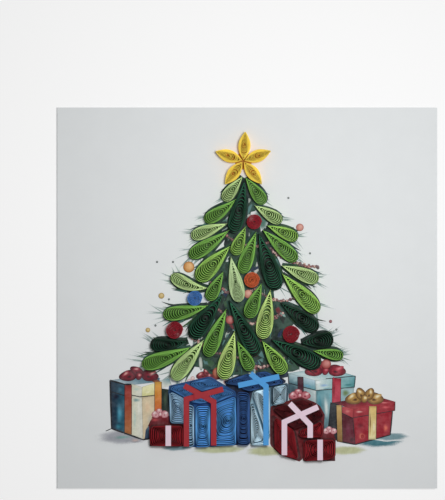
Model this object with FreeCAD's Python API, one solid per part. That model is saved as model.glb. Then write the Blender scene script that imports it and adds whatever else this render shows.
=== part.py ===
import FreeCAD, Part
import math
import os
from collections import namedtuple

# Quilled greeting card, in millimetres. The closed card lies on its back, +Z out of its front,
# +Y towards the top of the tree, +X to the right, and the origin is the middle of its back.

CARD_WIDTH = 150.0
CARD_HEIGHT = 150.0
SHEET = 0.4  # thickness of the card stock
LEAF_GAP = 0.3  # air between the two leaves of the closed card
FRONT_SHORT = 1.0  # how far the front leaf stops short of the back leaf's free edge
FOLD_STEPS = 4  # flats in the quarter round of the fold

STRIP_HEIGHT = 3.0  # width of the quilling strip, which stands on edge
STRIP_THICK = 0.22  # one turn of strip with its glue

RIBBON_WIDTH = 2.15
RIBBON_THICK = 0.2
RIBBON_RAMP = 0.9  # length over which a ribbon climbs over the one it crosses

BOUGH_POINTS = 11  # points of a bough's outer turn, besides its tip
BOUGH_FLANK = 0.14  # share of a turn from the tip to the first of them
BOUGH_INNER = 8  # points in each turn inside it
BOUGH_TURNS = 1.375  # turns inside the outer one
BOUGH_PINCH = 1.3  # 0 is an oval, higher values pinch the tip
BOUGH_EYE = 0.68  # place of the coil's eye along the bough
TIP_SHRINK = 1.5  # how much sooner the inner turns draw back from the tip than from the round end
EYE_SCALE = 0.22  # size of a coil's last point against its outline
EYE_ROOM = 2.2  # least distance from a narrow coil's last point to its eye, in thicknesses of strip

CELL_CORNER = 1.0  # length of the short edge that stands for a rounded corner, in the faces of the presents
CELL_TURNS = 1.5  # turns inside the outer one
LID_CORNER = 0.8  # and the same two for the small coils of their lids
LID_TURNS = 0.625
CORNER_SHARE = 0.3  # most of a side that a rounded corner takes

ROLL_POINTS = 10
ROLL_TURNS = 1.5

STAR_CENTRE = (-1.5, 53.8)
STAR_REACH = 11.6
STAR_GAP = 0.45  # from the star's centre to each petal's inner point
PETAL_WIDTH = 4.6
PETAL_ANGLES = (86.0, 20.0, -51.0, -128.0, 161.0)
PETAL_TURNS = 0.75
# One side of a petal, from its inner point outwards: shares of its length and of its width.
PETAL_SIDE = ((0.3, 0.44), (0.6, 0.5), (0.85, 0.24))

CARD_THICK = 2 * SHEET + LEAF_GAP
COIL_TOP = CARD_THICK + STRIP_HEIGHT

# A bough runs from its pinched tip to its round end. A bend below zero bellies to the left of that way.
Bough = namedtuple("Bough", "name tip end width bend")

BOUGHS = (
    Bough("crown_bough_1", (-1.7, 47.7), (-9.3, 38.2), 4.7, 0.0),
    Bough("crown_bough_2", (-0.6, 47.4), (6.9, 37.0), 5.0, 0.0),
    Bough("crown_bough_3", (-1.0, 46.2), (-5.9, 25.4), 6.0, -14.0),
    Bough("crown_bough_4", (-4.4, 38.8), (-16.8, 30.4), 5.0, -22.0),
    Bough("crown_bough_5", (3.0, 36.4), (13.7, 29.9), 4.8, 0.0),
    Bough("upper_bough_1", (-7.8, 29.2), (-22.0, 24.0), 5.0, 0.0),
    Bough("upper_bough_2", (-7.0, 26.6), (-22.9, 16.3), 5.5, -10.0),
    Bough("upper_bough_3", (-0.6, 28.0), (-5.1, 16.8), 4.9, 0.0),
    Bough("upper_bough_4", (3.6, 26.0), (-2.2, 9.6), 5.5, 0.0),
    Bough("upper_bough_5", (4.6, 25.4), (11.8, 3.1), 6.9, 0.0),
    Bough("upper_bough_6", (7.8, 28.6), (20.0, 23.4), 4.7, 0.0),
    Bough("upper_bough_7", (6.2, 26.8), (19.5, 14.6), 5.5, 0.0),
    Bough("middle_bough_1", (-6.6, 20.4), (-19.7, 6.9), 6.9, 0.0),
    Bough("middle_bough_2", (-15.4, 3.9), (-29.7, 9.3), 4.9, -45.0),
    Bough("middle_bough_3", (-9.3, 10.4), (-15.2, -1.0), 4.9, 0.0),
    Bough("middle_bough_4", (-6.3, 16.3), (-3.0, -1.6), 5.8, 0.0),
    Bough("middle_bough_5", (5.7, 5.7), (0.3, -7.9), 5.6, 0.0),
    Bough("middle_bough_6", (9.2, 3.3), (5.9, -16.1), 6.5, 0.0),
    Bough("middle_bough_7", (13.6, 12.8), (28.1, 6.9), 5.4, 0.0),
    Bough("middle_bough_8", (13.8, 9.6), (28.1, -5.5), 6.5, 0.0),
    Bough("lower_bough_1", (-15.3, -2.9), (-33.1, -6.4), 5.5, -18.0),
    Bough("lower_bough_2", (-9.5, 1.4), (-22.0, -15.7), 6.8, 0.0),
    Bough("lower_bough_3", (-23.2, -16.7), (-38.1, -17.9), 5.1, -28.0),
    Bough("lower_bough_4", (-22.0, -19.3), (-41.4, -26.4), 6.0, -12.0),
    Bough("lower_bough_5", (-16.9, -16.4), (-29.2, -32.0), 6.3, 0.0),
    Bough("lower_bough_6", (-8.1, -4.3), (-15.9, -23.0), 6.0, 0.0),
    Bough("lower_bough_7", (-4.8, -13.0), (-9.6, -32.0), 6.5, 0.0),
    Bough("lower_bough_8", (-7.0, -0.8), (4.1, -22.6), 6.2, 0.0),
    Bough("lower_bough_9", (-3.8, -16.8), (1.8, -28.5), 4.9, 0.0),
    Bough("lower_bough_10", (6.0, -16.8), (15.0, -29.6), 5.9, 0.0),
    Bough("lower_bough_11", (9.6, -16.2), (28.9, -26.6), 6.8, 0.0),
    Bough("lower_bough_12", (13.2, -1.8), (27.8, -12.6), 5.8, 0.0),
    Bough("lower_bough_13", (21.2, -17.6), (34.0, -15.9), 5.9, 0.0),
    Bough("lower_bough_14", (26.0, -20.6), (37.9, -22.8), 4.1, 0.0),
)

Roll = namedtuple("Roll", "name centre radius")

ROLLS = (
    Roll("bauble_red_top", (2.8, 29.9), 3.0),
    Roll("bauble_orange", (1.9, 7.1), 3.1),
    Roll("bauble_blue", (-20.5, -0.1), 3.0),
    Roll("bauble_red_left", (-28.5, -12.6), 3.4),
    Roll("bauble_red_right", (17.3, -14.2), 3.4),
)

# The corners of each quilled face run anticlockwise, seen from the front.
FACES = {
    "blue_gift_left": ((-30.6, -35.8), (-30.2, -49.2), (-24.1, -49.3), (-24.1, -39.4)),
    "blue_gift_narrow": ((-23.7, -41.0), (-23.7, -58.2), (-20.8, -58.2), (-20.8, -41.9)),
    "blue_gift_middle": ((-20.3, -42.1), (-20.3, -58.4), (-14.6, -58.3), (-14.4, -42.0)),
    "blue_gift_right": ((-13.9, -42.0), (-13.9, -57.8), (-4.3, -57.6), (-4.3, -38.1)),
    "tall_gift_side": ((-3.9, -36.2), (-3.9, -57.6), (1.0, -57.8), (1.0, -36.9)),
    "tall_gift_front_low": ((1.5, -38.6), (1.4, -57.7), (8.1, -57.7)),
    "tall_gift_front_high": ((2.0, -37.0), (8.9, -57.2), (8.9, -35.1)),
    "tall_gift_right": ((9.3, -34.9), (9.3, -42.3), (15.9, -40.8), (16.3, -33.5)),
    "red_gift_left": ((9.5, -45.4), (9.5, -57.6), (13.4, -61.4), (21.5, -64.2), (19.4, -52.4)),
    "red_gift_right": ((19.8, -52.0), (20.7, -54.8), (29.6, -54.8), (29.8, -47.4), (24.6, -50.4)),
    "small_gift_left": ((-38.3, -49.8), (-38.0, -58.1), (-24.9, -58.3), (-24.9, -49.8)),
    "small_gift_right": ((22.1, -55.3), (22.2, -64.2), (31.9, -63.6), (34.6, -62.4), (34.7, -55.1)),
}

LIDS = {
    "blue_gift_lid": (
        ((-31.4, -35.0), (-24.0, -39.2), (-19.9, -36.8), (-25.6, -33.7)),
        ((-23.6, -33.3), (-17.8, -36.5), (-9.8, -34.3), (-14.6, -31.2)),
        ((-15.6, -38.0), (-12.6, -41.0), (-4.0, -37.3), (-9.3, -35.3)),
        ((-23.2, -40.3), (-18.4, -41.4), (-13.9, -41.0), (-18.0, -38.0)),
    ),
    "tall_gift_lid": (
        ((-9.8, -33.2), (-3.2, -34.3), (5.2, -32.6), (0.8, -29.3)),
        ((1.8, -29.4), (5.6, -32.2), (12.2, -30.8), (7.4, -28.6)),
        ((-3.8, -34.8), (1.0, -36.5), (7.6, -34.7), (4.0, -33.2)),
        ((5.6, -32.8), (8.8, -34.5), (15.6, -33.0), (11.9, -31.1)),
    ),
    "red_gift_lid": (
        ((9.0, -43.2), (14.4, -48.0), (20.4, -44.8), (15.8, -41.3)),
        ((16.2, -40.9), (21.0, -44.7), (27.2, -41.7), (21.1, -39.4)),
        ((21.4, -46.0), (25.2, -49.6), (30.4, -46.6), (28.1, -42.3)),
        ((14.8, -48.5), (19.0, -51.6), (24.4, -50.0), (20.4, -45.8)),
    ),
}

# Each present's first ribbon lies flat, and its second climbs over it in its first stretch.
RIBBONS = {
    "blue_gift_ribbon": (
        ((-24.6, -34.3), (-13.1, -40.6), (-13.1, -57.7)),
        ((-9.4, -35.6), (-23.8, -39.6), (-23.8, -58.1)),
    ),
    "tall_gift_ribbon": (
        ((-3.5, -34.2), (12.6, -30.7)),
        ((1.3, -29.5), (7.4, -34.5), (7.4, -57.6)),
    ),
    "red_gift_ribbon": (
        ((27.8, -42.6), (14.6, -48.5), (14.6, -61.5)),
        ((16.7, -41.2), (24.7, -49.6), (24.7, -54.7)),
    ),
}
SMALL_RIBBONS = (
    ((-30.9, -49.9), (-30.9, -57.9)),
    ((28.6, -55.4), (28.6, -63.5)),
)


def prism(outline, base, height, hole=None):
    """A flat outline, with an opening where one is given, raised to a height above a base."""
    wires = [Part.makePolygon([FreeCAD.Vector(x, y, base) for x, y in outline + outline[:1]])]
    if hole:
        back = hole[::-1]
        wires.append(Part.makePolygon([FreeCAD.Vector(x, y, base) for x, y in back + back[:1]]))
    return Part.Face(wires).extrude(FreeCAD.Vector(0, 0, height))


def towards(start, finish):
    """The unit vector from one point to another."""
    across, along = finish[0] - start[0], finish[1] - start[1]
    length = math.hypot(across, along)
    return across / length, along / length


def mitre(before, point, after, distance):
    """A path's corner moved to its left by a distance, along the corner's mitre."""
    first, second = towards(before, point), towards(point, after)
    across, along = -(first[1] + second[1]), first[0] + second[0]
    share = distance / (1 + first[0] * second[0] + first[1] * second[1])
    return point[0] + across * share, point[1] + along * share


def moved_left(path, distance, before, after):
    """A whole path moved to its left, with the points that come before and after it."""
    line = [before] + path + [after]
    return [mitre(line[i - 1], line[i], line[i + 1], distance) for i in range(1, len(line) - 1)]


def coil(outline, inner):
    """One strip on edge: a closed outer turn, then the inner path that winds on from its first point."""
    wall = moved_left(outline, STRIP_THICK, outline[-1], outline[0])
    outer_side = [wall[0]] + inner
    beyond = tuple(2 * a - b for a, b in zip(outer_side[-1], outer_side[-2]))
    inner_side = moved_left(outer_side, STRIP_THICK, wall[-1], beyond)
    hole = wall[1:] + inner_side + outer_side[::-1]
    return prism(outline, CARD_THICK, STRIP_HEIGHT, hole)


def bough_point(bough, turn, scale):
    """A point of a bough's teardrop, at a share of a turn from its tip, shrunk towards its eye."""
    chord = math.dist(bough.tip, bough.end)
    bend = math.radians(bough.bend)
    length = chord * (bend / 2 / math.sin(bend / 2) if bend else 1.0)
    angle = 2 * math.pi * turn
    pinch = BOUGH_PINCH * scale
    reach = (1 - math.cos(angle)) / 2 - BOUGH_EYE
    along = length * (BOUGH_EYE + reach * (scale if reach > 0 else scale ** TIP_SHRINK))
    widest = 2 * math.atan(math.sqrt(1 + pinch))
    swell = math.sin(angle) * abs(math.sin(angle / 2)) ** pinch
    side = -scale * bough.width / 2 * swell / (math.sin(widest) * math.sin(widest / 2) ** pinch)
    if bend:
        heading = bend * (along / length - 0.5)
        radius = length / bend
        x = radius * (math.sin(heading) + math.sin(bend / 2)) - side * math.sin(heading)
        y = radius * (math.cos(bend / 2) - math.cos(heading)) + side * math.cos(heading)
    else:
        x, y = along, side
    ahead = towards(bough.tip, bough.end)
    return bough.tip[0] + x * ahead[0] - y * ahead[1], bough.tip[1] + x * ahead[1] + y * ahead[0]


def bough_outline(bough):
    """The outer turn of a bough."""
    step = (1 - 2 * BOUGH_FLANK) / (BOUGH_POINTS - 1)
    return [bough.tip] + [bough_point(bough, BOUGH_FLANK + step * i, 1.0) for i in range(BOUGH_POINTS)]


def bough_coil(bough):
    """A teardrop coil: its inner turns shrink towards the eye and grow rounder."""
    count = round(BOUGH_TURNS * BOUGH_INNER)
    start = 1 - 2 * STRIP_THICK / bough.width
    inner = []
    for i in range(1, count + 1):
        scale = start + (EYE_SCALE - start) * i / count
        inner.append(bough_point(bough, i / BOUGH_INNER, scale))
    return coil(bough_outline(bough), inner)


def centre_of(points):
    """The mean of some points."""
    return sum(x for x, y in points) / len(points), sum(y for x, y in points) / len(points)


def between(start, finish, share):
    """A point part of the way from one point to another."""
    return tuple(a + share * (b - a) for a, b in zip(start, finish))


def rounded(corners, edge):
    """An outline with each corner cut back so that a short edge takes its place."""
    outline = []
    for i, corner in enumerate(corners):
        ends = corners[i - 1], corners[(i + 1) % len(corners)]
        back, ahead = (towards(corner, end) for end in ends)
        sine = math.sqrt((1 - back[0] * ahead[0] - back[1] * ahead[1]) / 2)
        for end in ends:
            share = min(edge / (2 * sine * math.dist(corner, end)), CORNER_SHARE)
            outline.append(between(corner, end, share))
    return outline


def wound(outline, turns):
    """A coil that follows its own outline inwards."""
    eye = centre_of(outline)
    steps = round(turns * len(outline))
    wall = STRIP_THICK / narrowest(outline, eye)
    start, finish = 1 - wall, max(EYE_SCALE, EYE_ROOM * wall)
    inner = []
    for i in range(1, steps + 1):
        scale = start + (finish - start) * i / steps
        inner.append(between(eye, outline[i % len(outline)], scale))
    return coil(outline, inner)


def narrowest(outline, eye):
    """The distance from a coil's eye to the nearest side of its outline."""
    sides = []
    for i, point in enumerate(outline):
        ahead = towards(outline[i - 1], point)
        sides.append(abs((eye[0] - point[0]) * ahead[1] - (eye[1] - point[1]) * ahead[0]))
    return min(sides)


def roll_coil(roll):
    """A tight round coil."""
    outline = []
    for i in range(ROLL_POINTS):
        angle = 2 * math.pi * i / ROLL_POINTS
        outline.append((roll.centre[0] + roll.radius * math.cos(angle),
                        roll.centre[1] + roll.radius * math.sin(angle)))
    return wound(outline, ROLL_TURNS)


def petal(angle):
    """One marquise coil of the star, pointed at both ends."""
    length = STAR_REACH - STAR_GAP
    ahead = (math.cos(math.radians(angle)), math.sin(math.radians(angle)))
    right = [(along, -side) for along, side in PETAL_SIDE]
    shares = [(0, 0)] + right + [(1, 0)] + list(PETAL_SIDE[::-1])
    outline = []
    for along, side in shares:
        x = STAR_GAP + along * length
        y = side * PETAL_WIDTH
        outline.append((STAR_CENTRE[0] + x * ahead[0] - y * ahead[1],
                        STAR_CENTRE[1] + x * ahead[1] + y * ahead[0]))
    return wound(outline, PETAL_TURNS)


def band(path, base):
    """A flat ribbon along a path, its bends mitred."""
    before = tuple(2 * a - b for a, b in zip(path[0], path[1]))
    after = tuple(2 * a - b for a, b in zip(path[-1], path[-2]))
    left = moved_left(list(path), RIBBON_WIDTH / 2, before, after)
    right = moved_left(list(path), -RIBBON_WIDTH / 2, before, after)
    return prism(right + left[::-1], base, RIBBON_THICK)


def crossing(first, second):
    """Where the first stretches of two paths cross, as a length along the second, and the sine there."""
    one, two = towards(first[0], first[1]), towards(second[0], second[1])
    sine = one[0] * two[1] - one[1] * two[0]
    apart = (second[0][0] - first[0][0], second[0][1] - first[0][1])
    return (apart[0] * one[1] - apart[1] * one[0]) / sine, abs(sine), abs(one[0] * two[0] + one[1] * two[1])


def band_over(path, under):
    """A ribbon that climbs over another one in its first stretch."""
    middle, sine, cosine = crossing(under, path)
    half = (RIBBON_WIDTH / 2 + RIBBON_WIDTH / 2 * cosine) / sine
    ahead = towards(path[0], path[1])
    low, high = COIL_TOP, COIL_TOP + RIBBON_THICK
    marks = (middle - half - RIBBON_RAMP, middle - half, middle + half, middle + half + RIBBON_RAMP)
    top = high + RIBBON_THICK
    profile = ((marks[0], low), (marks[1], high), (marks[2], high), (marks[3], low),
               (marks[3], high), (marks[2], top), (marks[1], top), (marks[0], high))
    side = RIBBON_WIDTH / 2
    points = [FreeCAD.Vector(path[0][0] + s * ahead[0] + side * ahead[1],
                             path[0][1] + s * ahead[1] - side * ahead[0], z) for s, z in profile]
    across = FreeCAD.Vector(-ahead[1], ahead[0], 0) * RIBBON_WIDTH
    bridge = Part.Face(Part.makePolygon(points + points[:1])).extrude(across)
    length = math.dist(path[0], path[1])
    first = band((path[0], between(path[0], path[1], marks[0] / length)), COIL_TOP)
    rest = band((between(path[0], path[1], marks[3] / length),) + tuple(path[1:]), COIL_TOP)
    return bridge.fuse([first, rest]).removeSplitter()


def card():
    """The sheet folded once at the left: a back leaf, a round fold and a shorter front leaf."""
    left, right = -CARD_WIDTH / 2, CARD_WIDTH / 2
    outer = CARD_THICK / 2
    inner = LEAF_GAP / 2
    steps = 2 * FOLD_STEPS

    def fold(radius):
        turns = [math.pi * i / steps for i in range(steps + 1)]
        return [(left + outer - radius * math.sin(a), outer - radius * math.cos(a)) for a in turns]

    profile = [(right, 0.0), (right, SHEET)]
    profile += fold(inner)
    profile += [(right - FRONT_SHORT, CARD_THICK - SHEET), (right - FRONT_SHORT, CARD_THICK)]
    profile += fold(outer)[::-1]
    points = [FreeCAD.Vector(x, -CARD_HEIGHT / 2, z) for x, z in profile]
    return Part.Face(Part.makePolygon(points + points[:1])).extrude(FreeCAD.Vector(0, CARD_HEIGHT, 0))


def build():
    """Every node of the card by its name."""
    nodes = {"card": card()}
    for bough in BOUGHS:
        nodes[bough.name] = bough_coil(bough)
    for roll in ROLLS:
        nodes[roll.name] = roll_coil(roll)
    nodes["star"] = Part.makeCompound([petal(angle) for angle in PETAL_ANGLES])
    for name, corners in FACES.items():
        nodes[name] = wound(rounded(corners, CELL_CORNER), CELL_TURNS)
    for name, cells in LIDS.items():
        coils = [wound(rounded(corners, LID_CORNER), LID_TURNS) for corners in cells]
        nodes[name] = Part.makeCompound(coils)
    for name, (under, over) in RIBBONS.items():
        nodes[name] = Part.makeCompound([band(under, COIL_TOP), band_over(over, under)])
    nodes["small_gift_ribbons"] = Part.makeCompound([band(path, COIL_TOP) for path in SMALL_RIBBONS])
    return nodes


NODES = build()
os.makedirs("parts", exist_ok=True)
for node, shape in NODES.items():
    shape.exportStep(os.path.join("parts", node + ".step"))
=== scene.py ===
"""Dresses the quilled card: wound paper strips, flat ribbons, the printed picture, card, floor and light."""

import logging
import math
import random
from dataclasses import dataclass, field
from enum import Enum
from typing import Any

import bpy
import numpy as np
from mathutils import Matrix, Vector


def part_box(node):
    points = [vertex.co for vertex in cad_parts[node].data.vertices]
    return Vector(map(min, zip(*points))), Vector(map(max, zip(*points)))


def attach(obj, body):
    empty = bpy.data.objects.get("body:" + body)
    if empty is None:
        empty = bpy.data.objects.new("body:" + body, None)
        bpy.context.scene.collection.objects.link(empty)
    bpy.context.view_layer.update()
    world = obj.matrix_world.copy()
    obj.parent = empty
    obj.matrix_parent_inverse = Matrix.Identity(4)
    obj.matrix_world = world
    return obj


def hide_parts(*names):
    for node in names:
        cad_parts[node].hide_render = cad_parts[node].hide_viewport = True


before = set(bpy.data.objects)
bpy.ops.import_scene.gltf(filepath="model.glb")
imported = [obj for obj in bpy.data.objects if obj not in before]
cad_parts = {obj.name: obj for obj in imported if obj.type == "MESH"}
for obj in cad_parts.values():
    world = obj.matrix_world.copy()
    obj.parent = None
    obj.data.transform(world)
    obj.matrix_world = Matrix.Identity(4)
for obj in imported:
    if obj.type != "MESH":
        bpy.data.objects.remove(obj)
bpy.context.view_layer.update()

LOG = logging.getLogger("quilled_card")
MM = 0.001
BODY = "root"

Point = tuple[float, float]
Rgba = tuple[float, float, float, float]


@dataclass(frozen=True)
class Tint:
    """A colour as it looks on a screen, each part from 0 to 255."""

    red: float
    green: float
    blue: float

    def linear(self) -> Rgba:
        """The colour as a shader takes it."""
        red, green, blue = (self._decoded(part / 255) for part in self.parts())
        return red, green, blue, 1.0

    def towards(self, other: "Tint", share: float) -> "Tint":
        """A tint part of the way to another, which stands at a share of 1."""
        return Tint(*(a + share * (b - a) for a, b in zip(self.parts(), other.parts())))

    def parts(self) -> tuple[float, float, float]:
        """The three parts."""
        return self.red, self.green, self.blue

    @staticmethod
    def _decoded(value: float) -> float:
        """One part, from its screen value to its amount of light."""
        return value / 12.92 if value <= 0.04045 else ((value + 0.055) / 1.055) ** 2.4


CARD_TINT = Tint(229, 232, 233)


class Signal:
    """A value socket of a material. Arithmetic on it adds Math nodes."""

    def __init__(self, shader: "Shader", socket: bpy.types.NodeSocket) -> None:
        """Keeps the socket and the material that it belongs to."""
        self.shader = shader
        self.socket = socket

    def _math(self, operation: str, left: Any, right: Any) -> "Signal":
        """Adds one Math node."""
        node = self.shader.add("ShaderNodeMath", {"operation": operation}, {0: left, 1: right})
        return Signal(self.shader, node.outputs[0])

    def __add__(self, other: Any) -> "Signal":
        """This plus another."""
        return self._math("ADD", self, other)

    def __radd__(self, other: Any) -> "Signal":
        """Another plus this."""
        return self._math("ADD", other, self)

    def __sub__(self, other: Any) -> "Signal":
        """This less another."""
        return self._math("SUBTRACT", self, other)

    def __rsub__(self, other: Any) -> "Signal":
        """Another less this."""
        return self._math("SUBTRACT", other, self)

    def __mul__(self, other: Any) -> "Signal":
        """This times another."""
        return self._math("MULTIPLY", self, other)

    def __rmul__(self, other: Any) -> "Signal":
        """Another times this."""
        return self._math("MULTIPLY", other, self)

    def larger(self, other: Any) -> "Signal":
        """The larger of this and another."""
        return self._math("MAXIMUM", self, other)


class Shader:
    """The node tree of one material, with the few ways in which its nodes are made."""

    def __init__(self, name: str) -> None:
        """Makes an empty material.

        Args:
            name: the material's name.
        """
        self.material = bpy.data.materials.new(name)
        self.material.use_nodes = True
        self.tree = self.material.node_tree
        self.tree.nodes.clear()

    def add(self, kind: str, settings: dict[str, Any], sockets: dict[Any, Any]) -> bpy.types.Node:
        """Adds one node.

        Args:
            kind: the node's type.
            settings: its properties, set first.
            sockets: its inputs by name or number, each a value or what is linked to it.

        Returns:
            The node.
        """
        node = self.tree.nodes.new(kind)
        for key, value in settings.items():
            setattr(node, key, value)
        for key, value in sockets.items():
            source = value.socket if isinstance(value, Signal) else value
            if isinstance(source, bpy.types.NodeSocket):
                self.tree.links.new(source, node.inputs[key])
            else:
                node.inputs[key].default_value = source
        return node

    def place(self) -> bpy.types.NodeSocket:
        """The point on the card, in metres."""
        return self.add("ShaderNodeTexCoord", {}, {}).outputs["Object"]

    def value_of(self, attribute: str) -> Signal:
        """A number that each point of the mesh carries."""
        node = self.add("ShaderNodeAttribute", {"attribute_name": attribute}, {})
        return Signal(self, node.outputs["Fac"])

    def colour_of(self, attribute: str) -> bpy.types.NodeSocket:
        """A colour that each point of the mesh carries."""
        return self.add("ShaderNodeAttribute", {"attribute_name": attribute}, {}).outputs["Color"]

    def noise(self, size: float, detail: float) -> Signal:
        """Soft noise from 0 to 1, with patches of a size in millimetres and some finer layers."""
        sockets = {"Vector": self.place(), "Scale": 1 / (size * MM), "Detail": detail, "Roughness": 0.6}
        return Signal(self, self.add("ShaderNodeTexNoise", {}, sockets).outputs[0])

    def rise(self, signal: Signal, low: float, high: float) -> Signal:
        """A smooth step.

        Args:
            signal: what is tested.
            low: where the step starts.
            high: where it ends.

        Returns:
            0 before the step and 1 after it.
        """
        sockets = {"Value": signal, "From Min": low, "From Max": high}
        node = self.add("ShaderNodeMapRange", {"interpolation_type": "SMOOTHSTEP"}, sockets)
        return Signal(self, node.outputs[0])

    def mix(self, share: Any, first: Any, second: Any) -> bpy.types.NodeSocket:
        """Mixes a share of the second colour into the first."""
        return self.add("ShaderNodeMix", {"data_type": "RGBA"}, {0: share, 6: first, 7: second}).outputs[2]

    def scaled(self, colour: Any, factor: Any) -> bpy.types.NodeSocket:
        """A colour made lighter or darker by a factor.

        Args:
            colour: a colour or a socket that gives one.
            factor: what it is multiplied by.

        Returns:
            The socket of the changed colour.
        """
        source = colour[:3] if isinstance(colour, tuple) else colour
        sockets = {0: source, "Scale": factor}
        return self.add("ShaderNodeVectorMath", {"operation": "SCALE"}, sockets).outputs[0]

    def bump(self, height: Signal, depth: float, strength: float) -> bpy.types.NodeSocket:
        """The normal of a fine relief, whose depth is in millimetres."""
        sockets = {"Height": height, "Distance": depth * MM, "Strength": strength}
        return self.add("ShaderNodeBump", {}, sockets).outputs[0]

    def finish(self, sockets: dict[str, Any]) -> bpy.types.Material:
        """Ends the material with its surface.

        Args:
            sockets: the inputs of the Principled shader.

        Returns:
            The material.
        """
        surface = self.add("ShaderNodeBsdfPrincipled", {}, sockets)
        self.add("ShaderNodeOutputMaterial", {}, {"Surface": surface.outputs[0]})
        return self.material


@dataclass(frozen=True)
class QuillingPaper:
    """Paper strip that stands on edge: deeper coloured walls below and a paler cut edge on top, which is
    partly the paper's own cut edge and partly a painted highlight.
    """

    name: str
    wall: Tint
    edge: Tint
    top: float
    edge_depth: float = 0.16
    fibre: float = 0.35
    roughness: float = 0.68

    def material(self) -> bpy.types.Material:
        """The finish as a material.

        Returns:
            The material.
        """
        shader = Shader(self.name)
        fibres = shader.noise(self.fibre, 3.0)
        mottle = shader.noise(4.0, 2.0)
        height = Signal(shader, shader.add("ShaderNodeSeparateXYZ", {}, {0: shader.place()}).outputs[2])
        # painted highlight: the top of the strip is mixed towards the paler edge tint, beyond the cut edge's
        # own paleness
        cut = shader.rise(height, self.top - self.edge_depth * MM, self.top - 0.02 * MM)
        colour = shader.mix(cut * (0.7 + 0.3 * fibres), self.wall.linear(), self.edge.linear())
        # painted light: the per-point number brightens or darkens the colour where the strip is lit or
        # shaded, on top of random tone
        light = 0.8 + 0.16 * fibres + 0.14 * mottle + 0.22 * shader.value_of("tone_and_painted_light")
        return shader.finish({
            "Base Color": shader.scaled(colour, light),
            "Roughness": self.roughness + 0.2 * fibres,
            "Specular IOR Level": 0.3,
            "Normal": shader.bump(fibres, 0.02, 0.5),
        })


@dataclass(frozen=True)
class RibbonPaper:
    """Flat strip of smooth paper, with a faint fibre."""

    name: str
    face: Tint
    fibre: float = 0.3

    def material(self) -> bpy.types.Material:
        """The finish as a material.

        Returns:
            The material.
        """
        shader = Shader(self.name)
        fibres = shader.noise(self.fibre, 4.0)
        mottle = shader.noise(3.5, 2.0)
        light = 0.88 + 0.12 * fibres + 0.12 * mottle
        return shader.finish({
            "Base Color": shader.scaled(self.face.linear(), light),
            "Roughness": 0.55 + 0.2 * fibres,
            "Specular IOR Level": 0.35,
            "Normal": shader.bump(fibres, 0.02, 0.4),
        })


@dataclass(frozen=True)
class CardStock:
    """Thick matt card with a felt-like tooth and a very faint mottle."""

    name: str
    tooth: float = 0.45

    def material(self) -> bpy.types.Material:
        """The finish as a material.

        Returns:
            The material.
        """
        shader = Shader(self.name)
        return shader.finish({
            "Base Color": stock_colour(shader),
            "Roughness": 0.78 + 0.12 * shader.noise(2.0, 2.0),
            "Specular IOR Level": 0.3,
            "Normal": stock_relief(shader, self.tooth),
        })


def stock_colour(shader: Shader) -> bpy.types.NodeSocket:
    """The colour of the bare card, which the print fades into.

    Args:
        shader: the nodes of the material that it is made for.

    Returns:
        The socket of the colour.
    """
    cloud = shader.noise(9.0, 3.0)
    speck = shader.noise(0.5, 2.0)
    return shader.scaled(CARD_TINT.linear(), 0.965 + 0.05 * cloud + 0.02 * speck)


def stock_relief(shader: Shader, tooth: float) -> bpy.types.NodeSocket:
    """The normal of the card's tooth, whose size is in millimetres."""
    return shader.bump(shader.noise(tooth, 3.0) + 0.5 * shader.noise(3 * tooth, 2.0), 0.02, 0.35)


@dataclass(frozen=True)
class Watercolour:
    """Ink of the printed picture: each shape's own colour, grainy, blotched, and darker along its rim."""

    name: str

    def material(self) -> bpy.types.Material:
        """The finish as a material.

        Returns:
            The material.
        """
        shader = Shader(self.name)
        ink = shader.colour_of("ink")
        blotch = shader.rise(shader.noise(2.6, 3.0), 0.3, 0.72)
        grain = shader.noise(0.32, 3.0)
        pigment = shader.mix(blotch, shader.scaled(ink, 0.62), shader.mix(0.1, ink, CARD_TINT.linear()))
        line = 1.0 - shader.rise(shader.value_of("rim"), 0.0, 0.5)
        edged = shader.scaled(shader.mix(0.45, ink, pigment), 1.0 - 0.3 * line)
        cover = shader.rise(shader.value_of("wash") + 0.5 * (grain - 0.5), 0.05, 0.75)
        return shader.finish({
            "Base Color": shader.mix(cover, stock_colour(shader), shader.scaled(edged, 0.86 + 0.28 * grain)),
            "Roughness": 0.72 + 0.15 * grain,
            "Specular IOR Level": 0.3,
            "Normal": stock_relief(shader, 0.45),
        })


@dataclass(frozen=True)
class Backdrop:
    """White table that shows white and keeps the card's shadow."""

    name: str
    shown: float = 0.62

    def material(self) -> bpy.types.Material:
        """The finish as a material.

        Returns:
            The material.
        """
        shader = Shader(self.name)
        paper = shader.add("ShaderNodeBsdfDiffuse", {}, {"Color": Tint(250, 250, 250).linear()})
        glow = shader.add("ShaderNodeEmission", {}, {"Color": (1, 1, 1, 1), "Strength": 1.0})
        rays = shader.add("ShaderNodeLightPath", {}, {}).outputs
        seen = Signal(shader, rays["Is Camera Ray"]).larger(Signal(shader, rays["Is Glossy Ray"]))
        seen = seen.larger(Signal(shader, rays["Is Transmission Ray"]))
        sockets = {0: seen * self.shown, 1: paper.outputs[0], 2: glow.outputs[0]}
        surface = shader.add("ShaderNodeMixShader", {}, sockets)
        shader.add("ShaderNodeOutputMaterial", {}, {"Surface": surface.outputs[0]})
        return shader.material


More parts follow.
